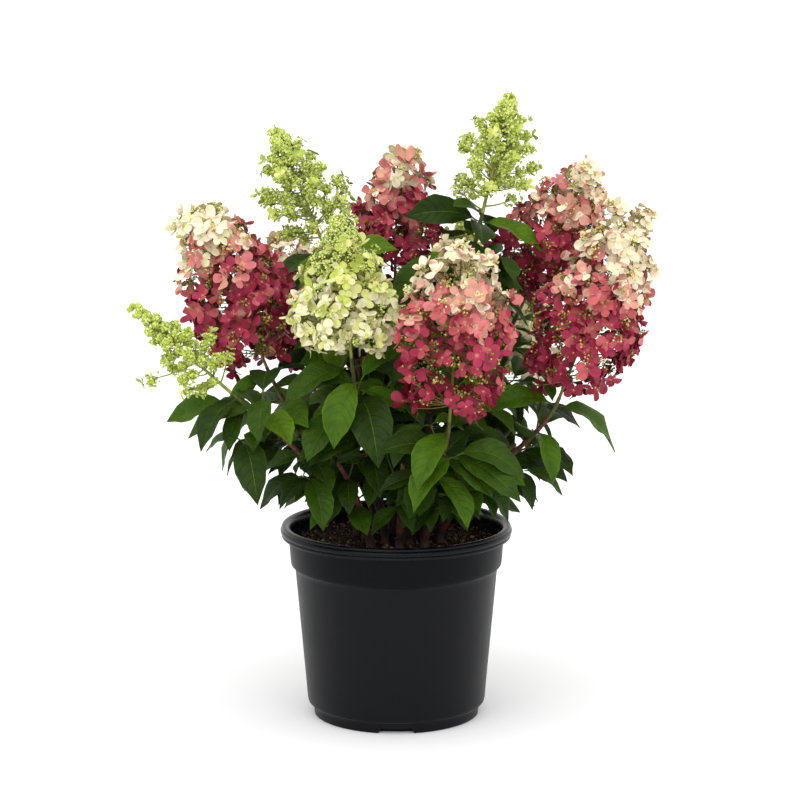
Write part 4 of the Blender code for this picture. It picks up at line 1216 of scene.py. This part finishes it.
for index, (name, shoot) in enumerate(blossom_heads.items()):
    draw = np.random.default_rng(700 + index)
    kind = shoot.kind
    base, along, length, _, _ = head_frame(shoot)
    rachis = base + along * np.linspace(-STALK / length, 0.93, 12)[:, None] * length
    growth = head_growth[kind]
    growth.add_stems(rachis[None], HEAD_STALK, 6)
    shares = (np.arange(AREA_STEPS) + 0.5) / AREA_STEPS
    area = 2 * np.pi * head_radius(shoot, shares).sum() * length / AREA_STEPS

    # side branches, each with a dome of florets and a tuft of buds at its end
    count = int(area / CLUSTER_AREA[kind])
    t, angle = spiral_places(shoot, count)
    t = np.clip(t + draw.normal(0, 0.02, count), LOWEST_CLUSTER, 0.97)
    angle = angle + draw.normal(0, 0.2, count)
    open_to, missing = OPEN_FEET.get(name, OPEN_FOOT)
    standing = (t > open_to) | (draw.uniform(size=count) > missing)
    t, angle, count = t[standing], angle[standing], int(standing.sum())
    middles, normals = head_surface(shoot, t, angle, draw.uniform(*CLUSTER_REACH, count))
    dome = np.minimum(draw.uniform(*DOME, count), 0.004 + 0.45 * head_radius(shoot, t))
    starts = base + along * (np.maximum(0.02, t - 0.12) * length)[:, None]
    growth.add_stems(curved(starts, middles, np.tile(-along * 0.004, (count, 1))), BRANCH_STALK)
    ways = dome_directions(draw, normals)
    spread = (dome[:, None] * draw.uniform(0.75, 1.15, ways.shape[:2]))[..., None]
    centres = (middles[:, None] + ways * spread).reshape(-1, 3)
    facing = ways + 0.45 * normals[:, None] + draw.normal(size=ways.shape) * 0.36 + UP * 0.25
    facing = unit(facing).reshape(-1, 3)
    t_each = np.repeat(t, CLUSTER_FLORETS)
    starts = np.repeat(middles, CLUSTER_FLORETS, 0)
    radii = draw.uniform(*FLORET_RADII[kind], len(centres))
    radii = radii * np.where(t_each > SMALL_FROM, SMALL_SIZE, 1.0)
    kept = np.ones(len(centres), bool)
    if kind == "cream":
        kept = (t_each < CREAM_TIP) | (draw.uniform(size=len(centres)) < CREAM_TIP_FLORETS)
    add_florets(draw, name, shoot, centres[kept], facing[kept], radii[kept], t_each[kept], starts[kept])
    tufts = middles + normals * (dome * np.where(t > 0.6, 1.05, 0.85))[:, None]
    for part, tones in tuft_tones(kind, t):
        growth.add_tufts(draw, tufts[part], normals[part], END_TUFT, *tones)

    # further florets deep in the head, which close the gaps between the side branches
    filling = int(count * FILLING[kind])
    t, angle = spiral_places(shoot, filling)
    centres, facing = head_surface(shoot, t, angle + 1.1, draw.uniform(*FILLING_REACH[kind], filling))
    facing = unit(facing + draw.normal(size=facing.shape) * 0.3)
    starts = base + along * (np.clip(t - 0.05, 0.01, 0.9) * length)[:, None]
    radii = draw.uniform(*FLORET_RADII[kind], filling)
    kept = (t < FILLING_TOP[kind]) & (t > 0.7 * open_to)
    add_florets(draw, name, shoot, centres[kept], facing[kept], radii[kept], t[kept], starts[kept])

    # tufts of buds between them, gold and olive in the rose heads
    inner = int(count * INNER_TUFTS)
    t, angle = spiral_places(shoot, inner)
    centres, facing = head_surface(shoot, t, angle + 2.3, draw.uniform(*INNER_TUFT_REACH, inner))
    for part, tones in tuft_tones(kind, t):
        growth.add_tufts(draw, centres[part], facing[part], INNER_TUFT, *tones)

    # loose florets round the head's foot, on long stalks
    loose = LOOSE_FLORETS.get(name, FEW_FLORETS)
    t = draw.uniform(*LOOSE_PLACES, loose)
    outward = outward_at(shoot, draw.uniform(0, 2 * np.pi, loose))
    reach = draw.uniform(*LOOSE_REACH, loose) * shoot.radius
    centres = base + along * (t * length)[:, None] + outward * reach[:, None]
    facing = unit(outward - along * 0.2 + draw.normal(size=outward.shape) * 0.5)
    starts = np.repeat((base + along * 0.02 * length)[None], loose, 0)
    radii = draw.uniform(*FLORET_RADII[kind], loose)
    add_florets(draw, name, shoot, centres, facing, radii, np.zeros(loose), starts)

head_nodes = {
    kind: [f"blossom_{name}" for name, shoot in blossom_heads.items() if shoot.kind == kind]
    for kind in blossom
}
for kind, (parts, slots) in blossom.items():
    piece = make_piece(f"blossom_{kind}", *joined(parts), sepal_finishes, np.concatenate(slots), sharp=80.0)
    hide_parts(*head_nodes[kind])
    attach(piece, "root")


# The green sprays: panicles still in bud, whose side branches carry tufts of tight round
# buds, with a few small lime florets open at the ends.
SPRIGS = 24
SPRIG_RISE = 0.4
SPRIG_STALK = (0.0010, 0.0005)
SIDE_STALK = (0.0011, 0.0007)
TUFT_RADIUS = 0.0100
BUD_RADIUS = 0.0017
# share of a side branch's run at which a tuft stands, its buds, and its share of the size
OUTER_TUFTS = ((1.0, 52, 1.0), (0.66, 38, 0.95), (0.34, 26, 0.9))
SHORT_TUFTS = ((1.0, 40, 1.05),)
# a spray's width beside its solid, how far up its sprigs go, its open florets, and the
# shares of green and lime buds, first of most sprays and then of one that differs
SPRAY = (1.0, 0.90, 15, (0.5, 0.5))
THIN_SPRAYS = {"far_left": (0.66, 0.98, 2, (0.75, 0.25))}
OPEN_SPRIGS = 18
OPEN_RADII = (0.0070, 0.0100)
# further tufts on side stalks: share of the spray's length, direction in degrees, reach
SIDE_TUFTS = {
    "tall_right": ((-0.10, 5, 0.030), (-0.06, 178, 0.028), (0.02, 90, 0.024)),
    "tall_left": ((0.0, 175, 0.040), (0.10, 200, 0.046), (-0.02, 20, 0.034), (-0.14, 160, 0.026)),
    "far_left": ((0.28, 0, 0.048), (0.06, 30, 0.030), (0.0, 185, 0.026)),
}
SIDE_TUFT = (0.0095, 50, 0.0016)
SIDE_RADII = (0.0065, 0.0085)
# tufts on the cream heads' tips, which are still in bud: how many, shares of the head's
# length and radius at which they stand, and what one is like
CROWN_TUFTS = {"front_left": 74, "back_right": 40}
CROWN_PLACES = (0.58, 0.97)
CROWN_REACH = (0.62, 0.96)
CROWN_TUFT = (0.0085, 22, 0.0014)
STALK_TONES = {"spray": ((118, 132, 52), (160, 160, 84)), "rose": ((90, 104, 36), (142, 112, 58))}

spray_growth = Growth()
lime_parts, lime_slots = [], []


def add_sprigs(draw, starts, ends, sizes, tufts, tones):
    """Side branches, each with a rounded tuft of buds at its end and others on its way."""
    drop = np.tile([0, 0, -0.002], (len(starts), 1))
    spray_growth.add_stems(curved(starts, ends, drop), SPRIG_STALK)
    ways = unit(unit(ends - starts) + UP * 0.5)
    for share, buds, part in tufts:
        sideways = unit(np.cross(ways, draw.normal(size=ways.shape))) * (1 - share) * 0.012
        centres = starts + (ends - starts) * share + sideways
        # a core of buds inside each tuft, in the darker green alone: partly the inner buds and partly
        # painted shade between them
        spray_growth.add_buds(draw, centres, sizes * part * 0.62, [GREEN], [1.0])
        spray_growth.add_tufts(draw, centres, ways, (sizes * part, buds, BUD_RADIUS), [GREEN, LIME], tones)


def add_lime_florets(draw, centres, facing, radii):
    lime_parts.append(florets(draw, centres, facing, radii))
    lime_slots.append(floret_slots(draw, draw.choice(["green", "lime"], len(centres), p=[0.6, 0.4])))


for index, (name, shoot) in enumerate(SHOOTS.items()):
    if shoot.kind != "green":
        continue
    base, along, length, across, ahead = head_frame(shoot)
    source = random.Random(900 + index)
    draw = np.random.default_rng(900 + index)
    rachis = base + along * np.linspace(-STALK / length, 1.0, 12)[:, None] * length
    spray_growth.add_stems(rachis[None], (CANE_TIP_RADIUS, 0.0008), 6)
    starts, ends, shares = [], [], []
    slim, top, open_count, tones = THIN_SPRAYS.get(name, SPRAY)
    for place in range(SPRIGS):
        t = 0.02 + top * (place / (SPRIGS - 1)) ** 0.85
        reach = max(0.005, slim * float(head_radius(shoot, t + 0.05)))
        angle = place * GOLDEN_ANGLE + source.uniform(-0.2, 0.2)
        outward = across * math.cos(angle) + ahead * math.sin(angle)
        start = base + along * length * t
        starts.append(start)
        ends.append(start + outward * reach * source.uniform(0.9, 1.08) + along * reach * SPRIG_RISE)
        shares.append(t)
    starts, ends, shares = np.array(starts), np.array(ends), np.array(shares)
    sizes = TUFT_RADIUS * slim**0.25 * (1 - 0.62 * shares**2)
    add_sprigs(draw, starts, ends, sizes, OUTER_TUFTS[:2] if name in THIN_SPRAYS else OUTER_TUFTS, tones)

    # shorter sprigs between them, which fill the spray's middle
    outward = outward_at(shoot, np.arange(SPRIGS) * GOLDEN_ANGLE + 1.2)
    inner_reach = np.maximum(0.004, slim * 0.5 * head_radius(shoot, shares + 0.03))
    inner_ends = starts + outward * inner_reach[:, None] + along * (inner_reach * 0.7)[:, None]
    add_sprigs(draw, starts, inner_ends, sizes * slim, SHORT_TUFTS, tones)

    open_ones = draw.choice(OPEN_SPRIGS, open_count, replace=False)
    ways = unit(ends - starts)[open_ones]
    centres = ends[open_ones] + ways * 0.010
    spray_growth.add_stems(curved(starts[open_ones], centres, np.zeros_like(centres), 2), FLORET_STALK, 3)
    add_lime_florets(draw, centres, unit(ways + UP * 0.3), draw.uniform(*OPEN_RADII, open_count))
    if name in SIDE_TUFTS:
        t, turn, reach = np.array(SIDE_TUFTS[name]).T
        feet = base + along * (t * length)[:, None]
        ends = feet + outward_at(shoot, np.radians(turn)) * reach[:, None] + along * (reach * 0.5)[:, None]
        spray_growth.add_stems(curved(feet, ends, np.tile([0, 0, -0.002], (len(t), 1))), SIDE_STALK)
        ways = unit(ends - feet)
        spray_growth.add_tufts(draw, ends, ways, SIDE_TUFT, [GREEN, LIME], tones)
        add_lime_florets(draw, ends + ways * 0.013, ways, draw.uniform(*SIDE_RADII, len(t)))

for name, count in CROWN_TUFTS.items():
    draw = np.random.default_rng(61)
    t = draw.uniform(*CROWN_PLACES, count)
    turn = draw.uniform(0, 2 * np.pi, count)
    centres, facing = head_surface(SHOOTS[name], t, turn, draw.uniform(*CROWN_REACH, count))
    spray_growth.add_tufts(draw, centres, facing, CROWN_TUFT, [GREEN, LIME], [0.25, 0.75])

lime_florets = make_piece("spray_florets", *joined(lime_parts), sepal_finishes, np.concatenate(lime_slots),
                          sharp=80.0)
green_nodes = [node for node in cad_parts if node.startswith("buds_")]
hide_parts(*green_nodes)
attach(lime_florets, "root")

stalk_finishes = {}
for word, (dark, light) in STALK_TONES.items():
    stalk = Finish(word + "_stalk", 0.6, specular=0.3)
    stalk.colour(stalk.two_tone(stalk.noise(60.0, 2.0), 0.35, 0.65, dark, light))
    stalk_finishes[word] = stalk

# each kind's buds and stems are two pieces, and the cream heads have the sprays' green stalks
for word, growth, stalk, slot, nodes in (
    ("spray", spray_growth, "spray", "bud_green", green_nodes),
    ("cream", head_growth["cream"], "spray", "blossom_cream", head_nodes["cream"]),
    ("rose", head_growth["rose"], "rose", "blossom_rose", head_nodes["rose"]),
):
    bud_slots = np.repeat(np.concatenate(growth.tones), len(bud_sides))
    buds = make_piece(f"{word}_buds", *joined(growth.buds), bud_finishes, bud_slots)
    stalks = make_piece(f"{word}_stalks", *joined(growth.stems), [stalk_finishes[stalk]])
    for piece in (buds, stalks):
        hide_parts(*nodes)
        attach(piece, "root")


# The stage: a plain pale floor under even studio light from all round, with a soft key
# light from the upper left, and the camera where the photograph was taken.
FLOOR_RADIUS = 60.0
FLOOR_DEPTH = 0.0002
STUDIO_LIGHT = 1.14
KEY_LIGHT = 1.4
KEY_SPREAD = math.radians(80)
KEY_TURN = (math.radians(38), 0, math.radians(-6))
CAMERA_PLACE = (0.0045, -3.3, 0.98)
CAMERA_PITCH = 10.22
FOCAL_PIXELS = 2796
PICTURE_PIXELS = 800
SENSOR = 36.0

floor_rings = turned([(0.0, 0.0), (1.0, 0.0), (FLOOR_RADIUS, 0.0)], full_turn(64))
floor_rings[..., 2] -= FLOOR_DEPTH
paper = Finish("floor_paper", 0.9, specular=0.1)
paper.colour(paper.blend(paper.noise(3.0) * 0.2, linear(245, 245, 245), linear(242, 242, 242)))
floor = make_piece("floor", floor_rings.reshape(-1, 3), grid_faces(*floor_rings.shape[:2]), [paper])

world = bpy.data.worlds.new("studio")
bpy.context.scene.world = world
world.use_nodes = True
world.node_tree.nodes["Background"].inputs["Color"].default_value = (1.0, 1.0, 1.0, 1.0)
world.node_tree.nodes["Background"].inputs["Strength"].default_value = STUDIO_LIGHT

lamp = bpy.data.lights.new("key", "SUN")
lamp.energy = KEY_LIGHT
lamp.angle = KEY_SPREAD
light = bpy.data.objects.new("key", lamp)
light.rotation_euler = KEY_TURN
bpy.context.scene.collection.objects.link(light)

lens = bpy.data.cameras.new("photograph")
lens.sensor_width = SENSOR
lens.lens = FOCAL_PIXELS / PICTURE_PIXELS * SENSOR
camera = bpy.data.objects.new("photograph", lens)
camera.location = CAMERA_PLACE
camera.rotation_euler = (math.radians(90 - CAMERA_PITCH), 0, 0)
bpy.context.scene.collection.objects.link(camera)
bpy.context.scene.camera = camera
bpy.context.scene.view_settings.view_transform = "Standard"
